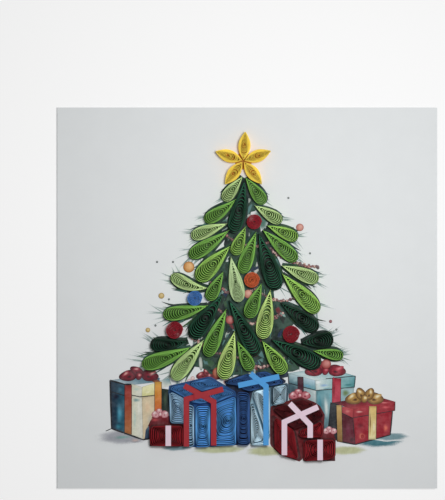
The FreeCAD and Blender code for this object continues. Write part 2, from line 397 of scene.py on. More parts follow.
@dataclass
class Form:
    """Points, faces and the numbers and colours that the points carry, gathered for one piece."""

    points: list[tuple[float, float, float]] = field(default_factory=list)
    faces: list[tuple[int, ...]] = field(default_factory=list)
    numbers: dict[str, list[float]] = field(default_factory=dict)
    inks: list[Rgba] = field(default_factory=list)

    def add(self, points: list[tuple[float, float, float]], faces: list[tuple[int, ...]],
            numbers: dict[str, list[float]], inks: list[Rgba] | None = None) -> None:
        """Adds one closed shell.

        Args:
            points: its points, in metres.
            faces: its faces, as numbers of those points.
            numbers: one number a point for each name.
            inks: one colour a point, for print.
        """
        start = len(self.points)
        self.points += points
        self.faces += [tuple(start + i for i in face) for face in faces]
        for name, values in numbers.items():
            self.numbers.setdefault(name, []).extend(values)
        self.inks += inks or []

    def piece(self, name: str, material: bpy.types.Material, slot: str) -> bpy.types.Object:
        """Makes the piece and lets it ride with the card.

        Args:
            name: the piece's name.
            material: its finish.
            slot: not used.

        Returns:
            The piece.
        """
        mesh = bpy.data.meshes.new(name)
        mesh.from_pydata(self.points, [], self.faces)
        for key, values in self.numbers.items():
            mesh.attributes.new(key, "FLOAT", "POINT").data.foreach_set("value", values)
        if self.inks:
            flat = [part for ink in self.inks for part in ink]
            mesh.attributes.new("ink", "FLOAT_COLOR", "POINT").data.foreach_set("color", flat)
        mesh.shade_smooth()
        mesh.set_sharp_from_angle(angle=math.radians(35))
        mesh.materials.append(material)
        piece = bpy.data.objects.new(name, mesh)
        bpy.context.scene.collection.objects.link(piece)
        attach(piece, BODY)
        return piece


def outlines_of(node: str) -> list[np.ndarray]:
    """The outer outlines of a node's coils, seen from above and anticlockwise.

    Args:
        node: the CAD node.

    Returns:
        One array of points a coil, in metres.
    """
    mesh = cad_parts[node].data
    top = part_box(node)[1].z
    step = 1e-7
    edges = set()
    for polygon in mesh.polygons:
        if polygon.normal.z > 0.9 and polygon.center.z > top - 0.01 * MM:
            corners = [mesh.vertices[i].co for i in polygon.vertices]
            keys = [(round(c.x / step), round(c.y / step)) for c in corners]
            edges.update(zip(keys, keys[1:] + keys[:1]))
    after = {a: b for a, b in edges if (b, a) not in edges}
    loops = []
    for start in sorted(after):
        if start in after:
            loop = [start]
            while after[loop[-1]] != start:
                loop.append(after[loop[-1]])
            for key in loop:
                del after[key]
            loops.append(np.array(loop, float) * step)
    return [loop for loop in loops if area_of(loop) > 0]


def area_of(loop: np.ndarray) -> float:
    """The area inside a loop, above zero if it runs anticlockwise."""
    following = np.roll(loop, -1, axis=0)
    return float(np.sum(loop[:, 0] * following[:, 1] - loop[:, 1] * following[:, 0]) / 2)


def sharpest(loop: np.ndarray) -> int:
    """The number of a loop's sharpest corner.

    Args:
        loop: the points of a closed outline.

    Returns:
        The place of the corner in the loop.
    """
    into = loop - np.roll(loop, 1, axis=0)
    out = np.roll(loop, -1, axis=0) - loop
    lengths = np.linalg.norm(into, axis=1) * np.linalg.norm(out, axis=1)
    return int(np.argmin(np.sum(into * out, axis=1) / lengths))


def directions(path: np.ndarray) -> np.ndarray:
    """The unit vectors along a path, one at each of its points."""
    ways = np.gradient(path, axis=0)
    return ways / (np.linalg.norm(ways, axis=1)[:, None] + 1e-12)


@dataclass
class Strip:
    """A paper strip on edge, with a slightly rounded cut edge."""

    thickness: float = 0.13 * MM
    round_edge: float = 0.03 * MM
    base: float = 0.0
    top: float = 0.0

    def sweep(self, path: np.ndarray, lean: np.ndarray, drop: np.ndarray,
              swell: np.ndarray) -> tuple[list, list]:
        """Stands the strip up along a path.

        Args:
            path: the line of its foot, in metres.
            lean: how far its upper edge leans, at each point.
            drop: how much lower its upper edge is, at each point.
            swell: how much wider than its thickness it stands, at each point.

        Returns:
            The points and faces of the closed strip.
        """
        along = directions(path)
        across = np.stack([-along[:, 1], along[:, 0]], axis=1)
        half = self.thickness / 2
        inset = half - self.round_edge
        top = self.top - drop
        rings = []
        for side, level, share in ((-half, self.base, 0.0), (half, self.base, 0.0),
                                   (half, -self.round_edge, 1.0), (inset, 0.0, 1.0),
                                   (-inset, 0.0, 1.0), (-half, -self.round_edge, 1.0)):
            flat = path + side * swell[:, None] * across + share * lean
            height = np.full(len(path), level) if share == 0.0 else top + level
            rings.append(np.column_stack([flat, height]))
        points = np.stack(rings, axis=1).reshape(-1, 3)
        count = len(rings)
        faces = []
        for i in range(len(path) - 1):
            for j in range(count):
                a, b = i * count + j, i * count + (j + 1) % count
                faces.append((a, a + count, b + count, b))
        last = (len(path) - 1) * count
        faces.append(tuple(range(count)))
        faces.append(tuple(last + j for j in reversed(range(count))))
        return [tuple(p) for p in points.tolist()], faces


@dataclass
class Coil:
    """One wound coil: an outline, an eye, and turns of strip from the outside in."""

    strip: Strip
    seed: int
    turns: float
    samples: int = 56
    wobble: float = 0.03
    unevenness: float = 0.03 * MM
    outline: np.ndarray = field(default_factory=lambda: np.zeros((0, 2)))
    # the way towards the lamp, which the painted light on flanks and sides follows
    lit_way: Point = (0.64, 0.77)

    def path(self) -> np.ndarray:
        """The line of the strip."""
        raise NotImplementedError

    def lean(self, path: np.ndarray) -> np.ndarray:
        """How far the upper edge leans at each point."""
        return np.zeros_like(path)

    def swell(self, steps: np.ndarray) -> np.ndarray:
        """How much wider than its thickness the strip stands along its way."""
        return np.ones_like(steps)

    def steps(self) -> np.ndarray:
        """The number of turns wound at each point of the strip."""
        return np.linspace(0.0, self.turns, int(self.turns * self.samples) + 1)

    def rough(self, steps: np.ndarray, scale: float, salt: int) -> np.ndarray:
        """Smooth seeded unevenness from turn to turn.

        Args:
            steps: the turns wound at each point.
            scale: the turns between one uneven value and the next.
            salt: which of the coil's uneven rows.

        Returns:
            Values from -1 to 1.
        """
        rng = random.Random(self.seed * 97 + salt)
        marks = np.arange(0.0, self.turns + 2 * scale, scale)
        values = np.array([rng.uniform(-1.0, 1.0) for _ in marks])
        return np.interp(steps, marks, values)

    def wind(self, form: Form) -> None:
        """Adds the wound strip to a form.

        Args:
            form: what the coil belongs to.
        """
        path = self.path()
        steps = self.steps()
        drop = self.unevenness * (1.0 + self.rough(steps, 0.6, 1))
        points, faces = self.strip.sweep(path, self.lean(path), drop, self.swell(steps))
        # random tone from turn to turn, plus painted light and shade along the strip
        tone_and_painted_light = 0.45 * self.rough(steps, 0.9, 2) + 0.25 * self.rough(steps, 0.22, 3) + self.painted_light(steps)
        form.add(points, faces, {"tone_and_painted_light": np.repeat(tone_and_painted_light, 6).tolist()})

    def painted_light(self, steps: np.ndarray) -> np.ndarray:
        """How much lighter the strip is painted along its way: a painted highlight on its outer turn, where
        it catches the light.
        """
        return 0.8 * np.clip(1.3 - steps, 0.0, 1.0)


@dataclass
class Spindle(Coil):
    """A coil pinched at one or both ends: its turns lie tight along both flanks and cross between them."""

    eye: float = 0.55
    pitch: float = 0.15 * MM
    roundness: float = 0.85
    tip_power: float = 1.15
    end_power: float = 1.05
    core: float = 0.35 * MM
    sway: float = 0.1
    leaning: float = 0.08 * MM
    # painted highlight on the stretches that cross from flank to flank
    crossing_light: float = 1.9
    bulge: float = 0.55
    # painted light and shade on the flanks, by how they face the lamp
    flank_light: float = 0.6

    def __post_init__(self) -> None:
        """Works out the axis from the outline, which has as many points on one side as on the other."""
        loop = np.roll(self.outline, -sharpest(self.outline), axis=0)
        half = len(loop) // 2
        chord = loop[half] - loop[0]
        self.tip = loop[0]
        self.length = float(np.linalg.norm(chord))
        self.ahead = chord / self.length
        self.left = np.array([-self.ahead[1], self.ahead[0]])
        middles = np.array([(loop[i] + loop[-i]) / 2 for i in range(1, half)]) - self.tip
        share = middles @ self.ahead / self.length
        basis = np.column_stack([share * (1 - share), share ** 2 * (1 - share)])
        self.bow = np.linalg.lstsq(basis, middles @ self.left, rcond=None)[0]
        widths = [float(np.linalg.norm(loop[i] - loop[-i])) / 2 for i in range(1, half)]
        self.marks = np.concatenate([[0.0], share * self.length, [self.length]])
        self.widths = np.array([0.0, *widths, 0.0])

    def half_width(self, along: np.ndarray) -> np.ndarray:
        """Half the outline's width at distances along the axis."""
        raise NotImplementedError

    def on_axis(self, along: np.ndarray) -> tuple[np.ndarray, np.ndarray]:
        """Points of the axis and the directions to its left.

        Args:
            along: distances from the tip.

        Returns:
            The points and the unit vectors across.
        """
        share = along / self.length
        aside = self.bow[0] * share * (1 - share) + self.bow[1] * share ** 2 * (1 - share)
        slope = (self.bow[0] * (1 - 2 * share) + self.bow[1] * share * (2 - 3 * share)) / self.length
        points = self.tip + along[:, None] * self.ahead + aside[:, None] * self.left
        left = self.left - slope[:, None] * self.ahead
        return points, left / np.linalg.norm(left, axis=1)[:, None]

    def bed(self, grow: float) -> tuple[list[Point], list[float]]:
        """The coil's outline as a middle line and the widths across it, in millimetres.

        Args:
            grow: how far it reaches beyond the coil.

        Returns:
            The middle line and the widths.
        """
        along = (1 - np.cos(np.linspace(0.0, np.pi, 26))) / 2 * self.length
        line = self.on_axis(along)[0] / MM
        widths = 2 * (np.maximum(self.half_width(along), 0.0) / MM + grow)
        return [tuple(point) for point in line.tolist()], widths.tolist()

    def path(self) -> np.ndarray:
        """The line of the strip.

        Returns:
            The points of the strip's foot, in metres.
        """
        steps = self.steps()
        wound = steps / self.turns
        angle = 2 * np.pi * (steps % 1.0)
        slots = np.linspace(0.0, self.length, 400)
        room = self.half_width(slots)
        needed = self.pitch * (np.arange(self.turns + 2) + 0.55)
        widest = int(np.argmax(room))
        soonest = np.interp(needed, room[:widest], slots[:widest])
        soonest[0] = 0.0
        eye = self.length * self.eye
        core = self.core
        rows = np.arange(len(soonest))
        shifts = [random.Random(self.seed + 31 * i).uniform(-1, 1) for i in range(len(soonest))]
        jitter = self.wobble * eye * np.array(shifts)
        even = (eye - core) * np.minimum(rows / self.turns, 1.0) ** self.tip_power + jitter * (rows > 1)
        starts = np.maximum.accumulate(np.minimum(np.maximum(even, soonest), eye - core))
        near = np.interp(steps, rows, starts)
        far = self.length - (self.length - eye - core) * wound ** self.end_power
        middle, reach = (near + far) / 2, (far - near) / 2
        along = middle - reach * np.cos(angle)
        flank = np.maximum(self.half_width(along) - self.pitch * steps, 0.0)
        belly = self.roundness * reach
        side = soft_least(flank, belly)
        tip_round = np.clip(1 - (along - near) / np.minimum(self._cap(near, steps), reach), 0.0, 1.0)
        end_round = np.clip(1 - (far - along) / np.minimum(self._cap(far, steps), reach), 0.0, 1.0)
        side = side * np.sqrt(1 - tip_round ** 2) * np.sqrt(1 - end_round ** 2)
        points, left = self.on_axis(along)
        sway = self.sway * self.rough(steps, 1.5, 4) * flank * wound
        offset = np.where(angle < np.pi, -side, side) + sway * np.sin(np.pi * np.clip(wound, 0, 1))
        return points + left * offset[:, None]

    def swell(self, steps: np.ndarray) -> np.ndarray:
        """The strip bulges where it crosses from flank to flank, most of all towards the tip.

        Args:
            steps: the turns wound so far, at each point.

        Returns:
            How much wider than its thickness the strip stands there.
        """
        across = np.cos(2 * np.pi * steps)
        butt_share = np.where(across > 0, 1.0, 0.8)
        return 1.0 + self.bulge * butt_share * np.abs(across) ** 3 * np.clip(steps - 0.4, 0.0, 1.0)

    def painted_light(self, steps: np.ndarray) -> np.ndarray:
        """Painted light: the outer turn, the stretches that cross and the flank that faces the lamp are
        painted lighter, and the other flank darker.

        Args:
            steps: the turns wound so far, at each point.

        Returns:
            How much lighter the strip looks there.
        """
        # painted light: crossings lighter, the flank towards the lamp lighter and the far flank darker
        crossing = np.abs(np.cos(2 * np.pi * steps)) ** 3
        lit = float(-self.left @ self.lit_way)
        flank = self.flank_light * lit * np.sin(2 * np.pi * steps)
        return super().painted_light(steps) + flank + self.crossing_light * crossing * (steps > 0.5)

    def _cap(self, place: np.ndarray, steps: np.ndarray) -> np.ndarray:
        """How long the round end of a turn is, where it starts at a place on the axis."""
        return np.maximum(self.half_width(place) - self.pitch * steps, 0.02 * MM)

    def lean(self, path: np.ndarray) -> np.ndarray:
        """The turns lean towards the round end, most of all in the middle of the coil.

        Args:
            path: not used.

        Returns:
            How far the upper edge leans, at each point.
        """
        wound = self.steps() / self.turns
        amount = self.leaning * np.sin(np.pi * wound ** 0.7) * (0.7 + 0.3 * self.rough(self.steps(), 1.0, 5))
        return self.ahead[None, :] * amount[:, None]


def soft_least(first: np.ndarray, second: np.ndarray) -> np.ndarray:
    """The lesser of two rows of lengths, with the change between them rounded off."""
    low = 1e-9
    return (np.maximum(first, low) ** -5.0 + np.maximum(second, low) ** -5.0) ** -0.2


def smooth_through(marks: np.ndarray, values: np.ndarray, wanted: np.ndarray) -> np.ndarray:
    """A smooth curve through given values.

    Args:
        marks: where the values stand, rising.
        values: the values there.
        wanted: where the curve is read.

    Returns:
        The curve's values.
    """
    slopes = np.gradient(values, marks)
    index = np.clip(np.searchsorted(marks, wanted, side="right") - 1, 0, len(marks) - 2)
    gap = marks[index + 1] - marks[index]
    share = (wanted - marks[index]) / gap
    rest = 1 - share
    return (values[index] * (1 + 2 * share) * rest ** 2 + slopes[index] * gap * share * rest ** 2
            + values[index + 1] * share ** 2 * (3 - 2 * share) - slopes[index + 1] * gap * share ** 2 * rest)


@dataclass
class Teardrop(Spindle):
    """A bough: pinched at its tip and round at its end."""

    pinch: float = 1.3

    def half_width(self, along: np.ndarray) -> np.ndarray:
        """Half the teardrop's width at distances along its axis.

        Args:
            along: the distances, in metres.

        Returns:
            The half widths there.
        """
        sizes = self._swell(self.marks[1:-1])
        scale = float(np.mean(self.widths[1:-1] / sizes))
        return scale * self._swell(along)

    def _swell(self, along: np.ndarray) -> np.ndarray:
        """The teardrop's shape, before its width."""
        angle = np.arccos(np.clip(1 - 2 * along / self.length, -1.0, 1.0))
        return np.sin(angle) * np.sin(angle / 2) ** self.pinch


@dataclass
class Marquise(Spindle):
    """A petal of the star: pointed at both ends."""

    def half_width(self, along: np.ndarray) -> np.ndarray:
        """Half the petal's width at distances along its axis."""
        return np.maximum(smooth_through(self.marks, self.widths, np.clip(along, 0.0, self.length)), 0.0)


@dataclass
class Cell(Coil):
    """A coil pressed flat-sided: its turns lie tight on its long sides and stand apart along it."""

    eye: Point = (0.0, 0.0)
    pitch: float = 0.13 * MM
    core: float = 0.3 * MM
    corner: float = 0.3 * MM
    roundness: float = 0.8
    # painted highlight on the stretches that cross the shape
    crossing_light: float = 2.0
    bulge: float = 0.7
    # painted light and shade on the sides, by how they face the lamp
    flank_light: float = 0.3

    def swell(self, steps: np.ndarray) -> np.ndarray:
        """The strip bulges where it crosses the shape."""
        return 1.0 + self.bulge * self._crossing() * np.clip(steps - 0.4, 0.0, 1.0)

    def painted_light(self, steps: np.ndarray) -> np.ndarray:
        """Painted light: the outer turn, the stretches that cross and the sides that face the lamp are
        painted lighter, and the sides turned away darker.

        Args:
            steps: the turns wound so far, at each point.

        Returns:
            How much lighter the strip looks there.
        """
        # painted light: sides towards the lamp lighter, sides turned away darker, crossings lighter
        way = directions(self.path())
        outwards = np.column_stack([way[:, 1], -way[:, 0]])
        lit = self.flank_light * outwards @ np.array(self.lit_way)
        return super().painted_light(steps) + lit + self.crossing_light * self._crossing() * (steps > 0.5)

    def _crossing(self) -> np.ndarray:
        """How squarely the strip crosses the shape's long way, from 0 to 1.

        Returns:
            A share for each point of the strip.
        """
        way = directions(self.path())
        ahead = self._axes()[0]
        return (way[:, 0] * ahead[1] - way[:, 1] * ahead[0]) ** 4

    def path(self) -> np.ndarray:
        """The line of the strip.

        Returns:
            The points of the strip's foot, in metres.
        """
        steps = self.steps()
        wound = steps / self.turns
        loop = self._even(self._softened())
        centre = loop.mean(axis=0)
        axes = self._axes()
        local = (loop - centre) @ np.linalg.inv(axes)
        half_long, half_wide = np.abs(local).max(axis=0)
        oval = self._oval(local)
        turn = (steps % 1.0) * self.samples
        marks = np.arange(self.samples + 1)
        outer, inner = (np.column_stack([np.interp(turn, marks, np.append(row, row[0])) for row in line.T])
                        for line in (local, oval))
        rounder = np.clip(wound * 1.3, 0.0, 1.0)[:, None]
        shape = outer * (1 - rounder) + inner * rounder
        along = half_long + (self.core - half_long) * wound
        across = soft_least(half_wide - self.pitch * steps, self.roundness * along)
        across = np.maximum(across, self.core * 0.7)
        sway = np.column_stack([self.rough(steps, 1.0, 6) * half_long, self.rough(steps, 2.0, 7) * half_wide])
        shift = np.array(self.eye) * [half_long, half_wide] * wound[:, None]
        shift = shift + self.wobble * sway * np.sin(np.pi * wound)[:, None]
        scaled = shape * np.column_stack([along / half_long, across / half_wide])
        return centre + (scaled + shift) @ axes

    def _axes(self) -> np.ndarray:
        """The two ways of the shape, one along its longest side and one that takes up its slant.

        Returns:
            The two ways as rows, the long one first.
        """
        ways = np.roll(self.outline, -1, axis=0) - self.outline
        lengths = np.linalg.norm(ways, axis=1)
        ahead = ways[int(np.argmax(lengths))] / lengths.max()
        ahead = ahead * (1.0 if ahead[1] > 0 else -1.0)
        left = np.array([-ahead[1], ahead[0]])
        even = self._even(self._softened())
        spread = even - even.mean(axis=0)
        x, y = spread @ ahead, spread @ left
        return np.array([ahead, left + ahead * float(np.sum(x * y) / np.sum(y * y))])

    @staticmethod
    def _oval(loop: np.ndarray) -> np.ndarray:
        """The oval that is nearest to a loop, point by point.

        Args:
            loop: evenly spaced points round the middle of the shape.

        Returns:
            As many points on the oval.
        """
        spectrum = np.fft.fft(loop[:, 0] + 1j * loop[:, 1])
        kept = np.zeros_like(spectrum)
        kept[[0, 1, -1]] = spectrum[[0, 1, -1]]
        line = np.fft.ifft(kept)
        return np.column_stack([line.real, line.imag])

    def _softened(self) -> np.ndarray:
        """The outline with its corners rounded off a little.

        Returns:
            The rounder outline.
        """
        loop = self.outline
        for cut in (self.corner, self.corner / 2):
            ways = np.roll(loop, -1, axis=0) - loop
            share = np.minimum(cut / np.linalg.norm(ways, axis=1), 0.3)[:, None]
            loop = np.stack([loop + share * ways, loop + (1 - share) * ways], axis=1).reshape(-1, 2)
        return loop

    def _even(self, loop: np.ndarray) -> np.ndarray:
        """The outline as evenly spaced points, drawn in by half the strip's thickness.

        Args:
            loop: the points of an outline, anticlockwise.

        Returns:
            The evenly spaced points.
        """
        closed = np.vstack([loop, loop[:1]])
        gaps = np.linalg.norm(np.diff(closed, axis=0), axis=1)
        marks = np.concatenate([[0.0], np.cumsum(gaps)])
        wanted = np.linspace(0.0, marks[-1], self.samples, endpoint=False)
        even = np.column_stack([np.interp(wanted, marks, closed[:, i]) for i in (0, 1)])
        ahead = np.roll(even, -1, axis=0) - np.roll(even, 1, axis=0)
        ahead /= np.linalg.norm(ahead, axis=1)[:, None]
        inwards = np.column_stack([-ahead[:, 1], ahead[:, 0]])
        return even + inwards * self.strip.thickness / 2


@dataclass
class Roll(Coil):
    """A tight round roll with an open eye."""

    eye_share: float = 0.1

    def path(self) -> np.ndarray:
        """The line of the strip.

        Returns:
            The points of the strip's foot, in metres.
        """
        steps = self.steps()
        wound = steps / self.turns
        centre = self.outline.mean(axis=0)
        radius = float(np.linalg.norm(self.outline - centre, axis=1).max()) - self.strip.thickness / 2
        reach = radius * (1 - (1 - self.eye_share) * wound) * (1 + 0.012 * self.rough(steps, 0.3, 8) * wound)
        angle = 2 * np.pi * steps
        shift = self.wobble * radius * np.column_stack([self.rough(steps, 2.0, 6), self.rough(steps, 2.0, 7)])
        circle = np.column_stack([np.cos(angle), np.sin(angle)]) * reach[:, None]
        return centre + circle + shift * np.sin(np.pi * wound)[:, None]


class Paper(Enum):
    """The coloured papers, each with its wall tint and its paler edge tint, which is partly the cut edge's
    own colour and partly a painted highlight.
    """

    DARK_GREEN = ("dark_green_paper", Tint(7, 36, 25), Tint(24, 66, 46))
    DEEP_GREEN = ("deep_green_paper", Tint(6, 28, 19), Tint(18, 52, 36))
    MID_GREEN = ("mid_green_paper", Tint(92, 152, 64), Tint(130, 184, 84))
    BRIGHT_GREEN = ("bright_green_paper", Tint(122, 176, 74), Tint(160, 206, 98))
    LIGHT_GREEN = ("light_green_paper", Tint(172, 206, 128), Tint(192, 218, 150))
    PALE_GREEN = ("pale_green_paper", Tint(164, 198, 132), Tint(194, 218, 164))
    LIME_GREEN = ("lime_green_paper", Tint(178, 212, 118), Tint(200, 226, 138))
    RED = ("red_paper", Tint(138, 20, 34), Tint(184, 46, 60))
    ORANGE = ("orange_paper", Tint(226, 76, 36), Tint(246, 124, 74))
    BLUE = ("blue_paper", Tint(46, 108, 196), Tint(92, 150, 224))
    GOLD = ("gold_paper", Tint(255, 190, 36), Tint(255, 226, 88))
    STEEL_BLUE = ("steel_blue_paper", Tint(84, 140, 184), Tint(176, 214, 240))
    MID_BLUE = ("mid_blue_paper", Tint(40, 118, 200), Tint(104, 180, 246))
    DARK_BLUE = ("dark_blue_paper", Tint(36, 84, 148), Tint(84, 144, 210))
    NAVY = ("navy_paper", Tint(20, 46, 94), Tint(60, 102, 164))
    PALE_BLUE = ("pale_blue_paper", Tint(122, 174, 198), Tint(204, 230, 242))
    DARK_RED = ("dark_red_paper", Tint(118, 14, 24), Tint(160, 32, 42))
    MAROON = ("maroon_paper", Tint(56, 8, 14), Tint(98, 20, 28))


@dataclass
class PaperShelf:
    """Makes each paper's material once."""

    top: float
    made: dict[Paper, bpy.types.Material] = field(default_factory=dict)

    def material(self, paper: Paper) -> bpy.types.Material:
        """The material of a paper.

        Args:
            paper: the coloured paper.

        Returns:
            Its material, made at the first call.
        """
        if paper not in self.made:
            name, wall, edge = paper.value
            self.made[paper] = QuillingPaper(name, wall, edge, self.top).material()
        return self.made[paper]


@dataclass
class QuilledWork:
    """Common ground of the quilled sub-assemblies."""

    shelf: PaperShelf
    face: float

    def strip(self, node: str) -> Strip:
        """The strip that a node is wound from, standing on the card's face."""
        return Strip(base=self.face, top=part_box(node)[1].z)

    def finish(self, form: Form, node: str, paper: Paper) -> bpy.types.Object:
        """Turns a form into the piece that stands for a CAD node.

        Args:
            form: the wound strips.
            node: the CAD node.
            paper: the paper that they are wound from.

        Returns:
            The piece.
        """
        piece = form.piece(f"{node}_quilled", self.shelf.material(paper), paper.value[0])
        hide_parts(node)
        return piece


@dataclass
class Boughs(QuilledWork):
    """The teardrop boughs, tier by tier. A letter stands for each bough's paper."""

    letters: dict[str, Paper] = field(default_factory=lambda: {
        "D": Paper.DARK_GREEN, "E": Paper.DEEP_GREEN, "M": Paper.MID_GREEN, "B": Paper.BRIGHT_GREEN,
        "L": Paper.LIGHT_GREEN, "P": Paper.PALE_GREEN, "I": Paper.LIME_GREEN,
    })
    tiers: dict[str, str] = field(default_factory=lambda: {
        "crown": "LMDML", "upper": "LMBMDBM", "middle": "BLMPMILB", "lower": "MDEMLMIDMBDEEM",
    })
    turn_room: dict[Paper, float] = field(default_factory=lambda: {
        Paper.PALE_GREEN: 1.3, Paper.LIGHT_GREEN: 1.7, Paper.DARK_GREEN: 2.4, Paper.DEEP_GREEN: 2.2,
    })
    # painted highlight: how strongly each paper's crossing stretches are painted lighter; usual_light is for
    # the other papers
    rung_light: dict[Paper, float] = field(default_factory=lambda: {
        Paper.DARK_GREEN: 10.0, Paper.DEEP_GREEN: 9.0, Paper.PALE_GREEN: 0.9,
    })
    usual_room: float = 1.95
    usual_light: float = 1.9
    least_turns: int = 6

    def papers(self) -> list[Paper]:
        """Each bough's paper, in the order in which they are wound."""
        return [self.letters[letter] for tier in self.tiers.values() for letter in tier]

    def build(self) -> list[Teardrop]:
        """Winds every bough.

        Returns:
            The coils, which the print's needles grow from.
        """
        coils = []
        nodes = [f"{tier}_bough_{i + 1}" for tier, letters in self.tiers.items() for i in range(len(letters))]
        for node, paper in zip(nodes, self.papers()):
            coil = self.coil(node, len(coils), paper)
            form = Form()
            coil.wind(form)
            self.finish(form, node, paper)
            coils.append(coil)
        LOG.info("boughs: %d coils", len(coils))
        return coils

    def coil(self, node: str, number: int, paper: Paper) -> Teardrop:
        """The coil of one bough.

        Args:
            node: its CAD node.
            number: its number, which seeds its unevenness.
            paper: its paper.

        Returns:
            The coil.
        """
        outline = outlines_of(node)[0]
        rng = random.Random(400 + number)
        coil = Teardrop(self.strip(node), number, 1, outline=outline, eye=rng.uniform(0.5, 0.58))
        room = self.turn_room.get(paper, self.usual_room)
        coil.turns = max(self.least_turns, round(coil.length / room / MM))
        # painted highlight on the crossings, by paper
        coil.crossing_light = self.rung_light.get(paper, self.usual_light)
        coil.bulge = 0.75 if paper in (Paper.DARK_GREEN, Paper.DEEP_GREEN) else 0.55
        return coil


@dataclass
class Star(QuilledWork):
    """The star's five petals."""

    seed: int = 60
    turns: int = 9
    thickness: float = 0.17 * MM
    pitch: float = 0.16 * MM
    bulge: float = 0.8
    # painted shade: the petals' crossing stretches are painted darker
    crossing_light: float = -0.7

    def build(self) -> None:
        """Winds the petals, which are nearly solid with strip."""
        form = Form()
        for i, outline in enumerate(outlines_of("star")):
            strip = self.strip("star")
            strip.thickness = self.thickness
            Marquise(strip, self.seed + i, self.turns, outline=outline, pitch=self.pitch, leaning=0.0,
                     bulge=self.bulge, crossing_light=self.crossing_light).wind(form)
        self.finish(form, "star", Paper.GOLD)
        LOG.info("star: gold petals")


@dataclass
class Baubles(QuilledWork):
    """The tight round rolls, by the ends of their nodes' names."""

    papers: dict[str, Paper] = field(default_factory=lambda: {
        "red_top": Paper.RED, "orange": Paper.ORANGE, "blue": Paper.BLUE,
        "red_left": Paper.RED, "red_right": Paper.RED,
    })
    seed: int = 80
    turns: int = 10

    def build(self) -> None:
        """Winds the rolls."""
        for i, (name, paper) in enumerate(self.papers.items()):
            node = f"bauble_{name}"
            form = Form()
            Roll(self.strip(node), self.seed + i, self.turns, outline=outlines_of(node)[0]).wind(form)
            self.finish(form, node, paper)
        LOG.info("baubles: %d rolls", len(self.papers))


@dataclass
class Presents(QuilledWork):
    """The presents' faces and lids, each paper with its nodes, and their flat ribbons."""

    papers: dict[Paper, str] = field(default_factory=lambda: {
        Paper.STEEL_BLUE: "blue_gift_left blue_gift_narrow",
        Paper.MID_BLUE: "blue_gift_middle blue_gift_right",
        Paper.DARK_BLUE: "blue_gift_lid",
        Paper.NAVY: "tall_gift_side tall_gift_lid",
        Paper.PALE_BLUE: "tall_gift_front_low tall_gift_front_high tall_gift_right",
        Paper.DARK_RED: "red_gift_left red_gift_right",
        Paper.MAROON: "red_gift_lid",
    })
    small: str = "small_gift_left small_gift_right"
    ribbons: dict[str, Tint] = field(default_factory=lambda: {
        "blue_gift_ribbon": Tint(162, 37, 47), "tall_gift_ribbon": Tint(76, 156, 220),
        "red_gift_ribbon": Tint(232, 208, 222), "small_gift_ribbons": Tint(232, 208, 222),
    })
    eyes: dict[str, Point] = field(default_factory=lambda: {
        "blue_gift_left": (0.1, -0.1), "blue_gift_right": (0.05, -0.3), "tall_gift_front_high": (0.5, 0.2),
        "tall_gift_front_low": (-0.2, 0.1), "tall_gift_right": (0.0, -0.1),
    })
    thickness: float = 0.13 * MM
    turn_room: float = 0.16 * MM
    turn_step: float = 0.72 * MM
    least_turns: int = 4
    samples: int = 72
    seed: int = 100

    def build(self) -> None:
        """Winds the faces and lids, and gives the ribbons their paper."""
        rows = [(node, paper) for paper, nodes in self.papers.items() for node in nodes.split()]
        rows += [(node, Paper.DARK_RED) for node in self.small.split()]
        for i, (node, paper) in enumerate(rows):
            form = Form()
            for j, outline in enumerate(outlines_of(node)):
                strip = self.strip(node)
                strip.thickness = self.thickness
                wide, long = self._half_sizes(outline)
                turns = max(self.least_turns, round(min(long / self.turn_step, wide / self.turn_room)))
                eye = self.eyes.get(node, (0.0, 0.0))
                pitch = min(self.turn_room, 0.5 * wide / turns)
                seed = self.seed + 10 * i + j
                Cell(strip, seed, turns, self.samples, outline=outline, eye=eye, pitch=pitch).wind(form)
            self.finish(form, node, paper)
        for node, tint in self.ribbons.items():
            fit(node, RibbonPaper(f"{node}_finish", tint).material())
        LOG.info("presents: %d faces and lids, %d ribbons", len(rows), len(self.ribbons))

    @staticmethod
    def _half_sizes(outline: np.ndarray) -> Point:
        """Half the narrow way and half the long way across an outline.

        Args:
            outline: the coil's outline.

        Returns:
            The narrow half size and the long one.
        """
        along = np.linalg.svd(outline - outline.mean(axis=0), full_matrices=False)[2]
        reach = np.ptp(outline @ along.T, axis=0) / 2
        return float(reach[1]), float(reach[0])


def fit(node: str, material: bpy.types.Material) -> None:
    """Gives a kept CAD node its material.

    Args:
        node: the CAD node.
        material: its finish.
    """
    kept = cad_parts[node]
    if not kept.material_slots:
        kept.data.materials.append(material)
    for held in kept.material_slots:
        held.link = "OBJECT"
        held.material = material


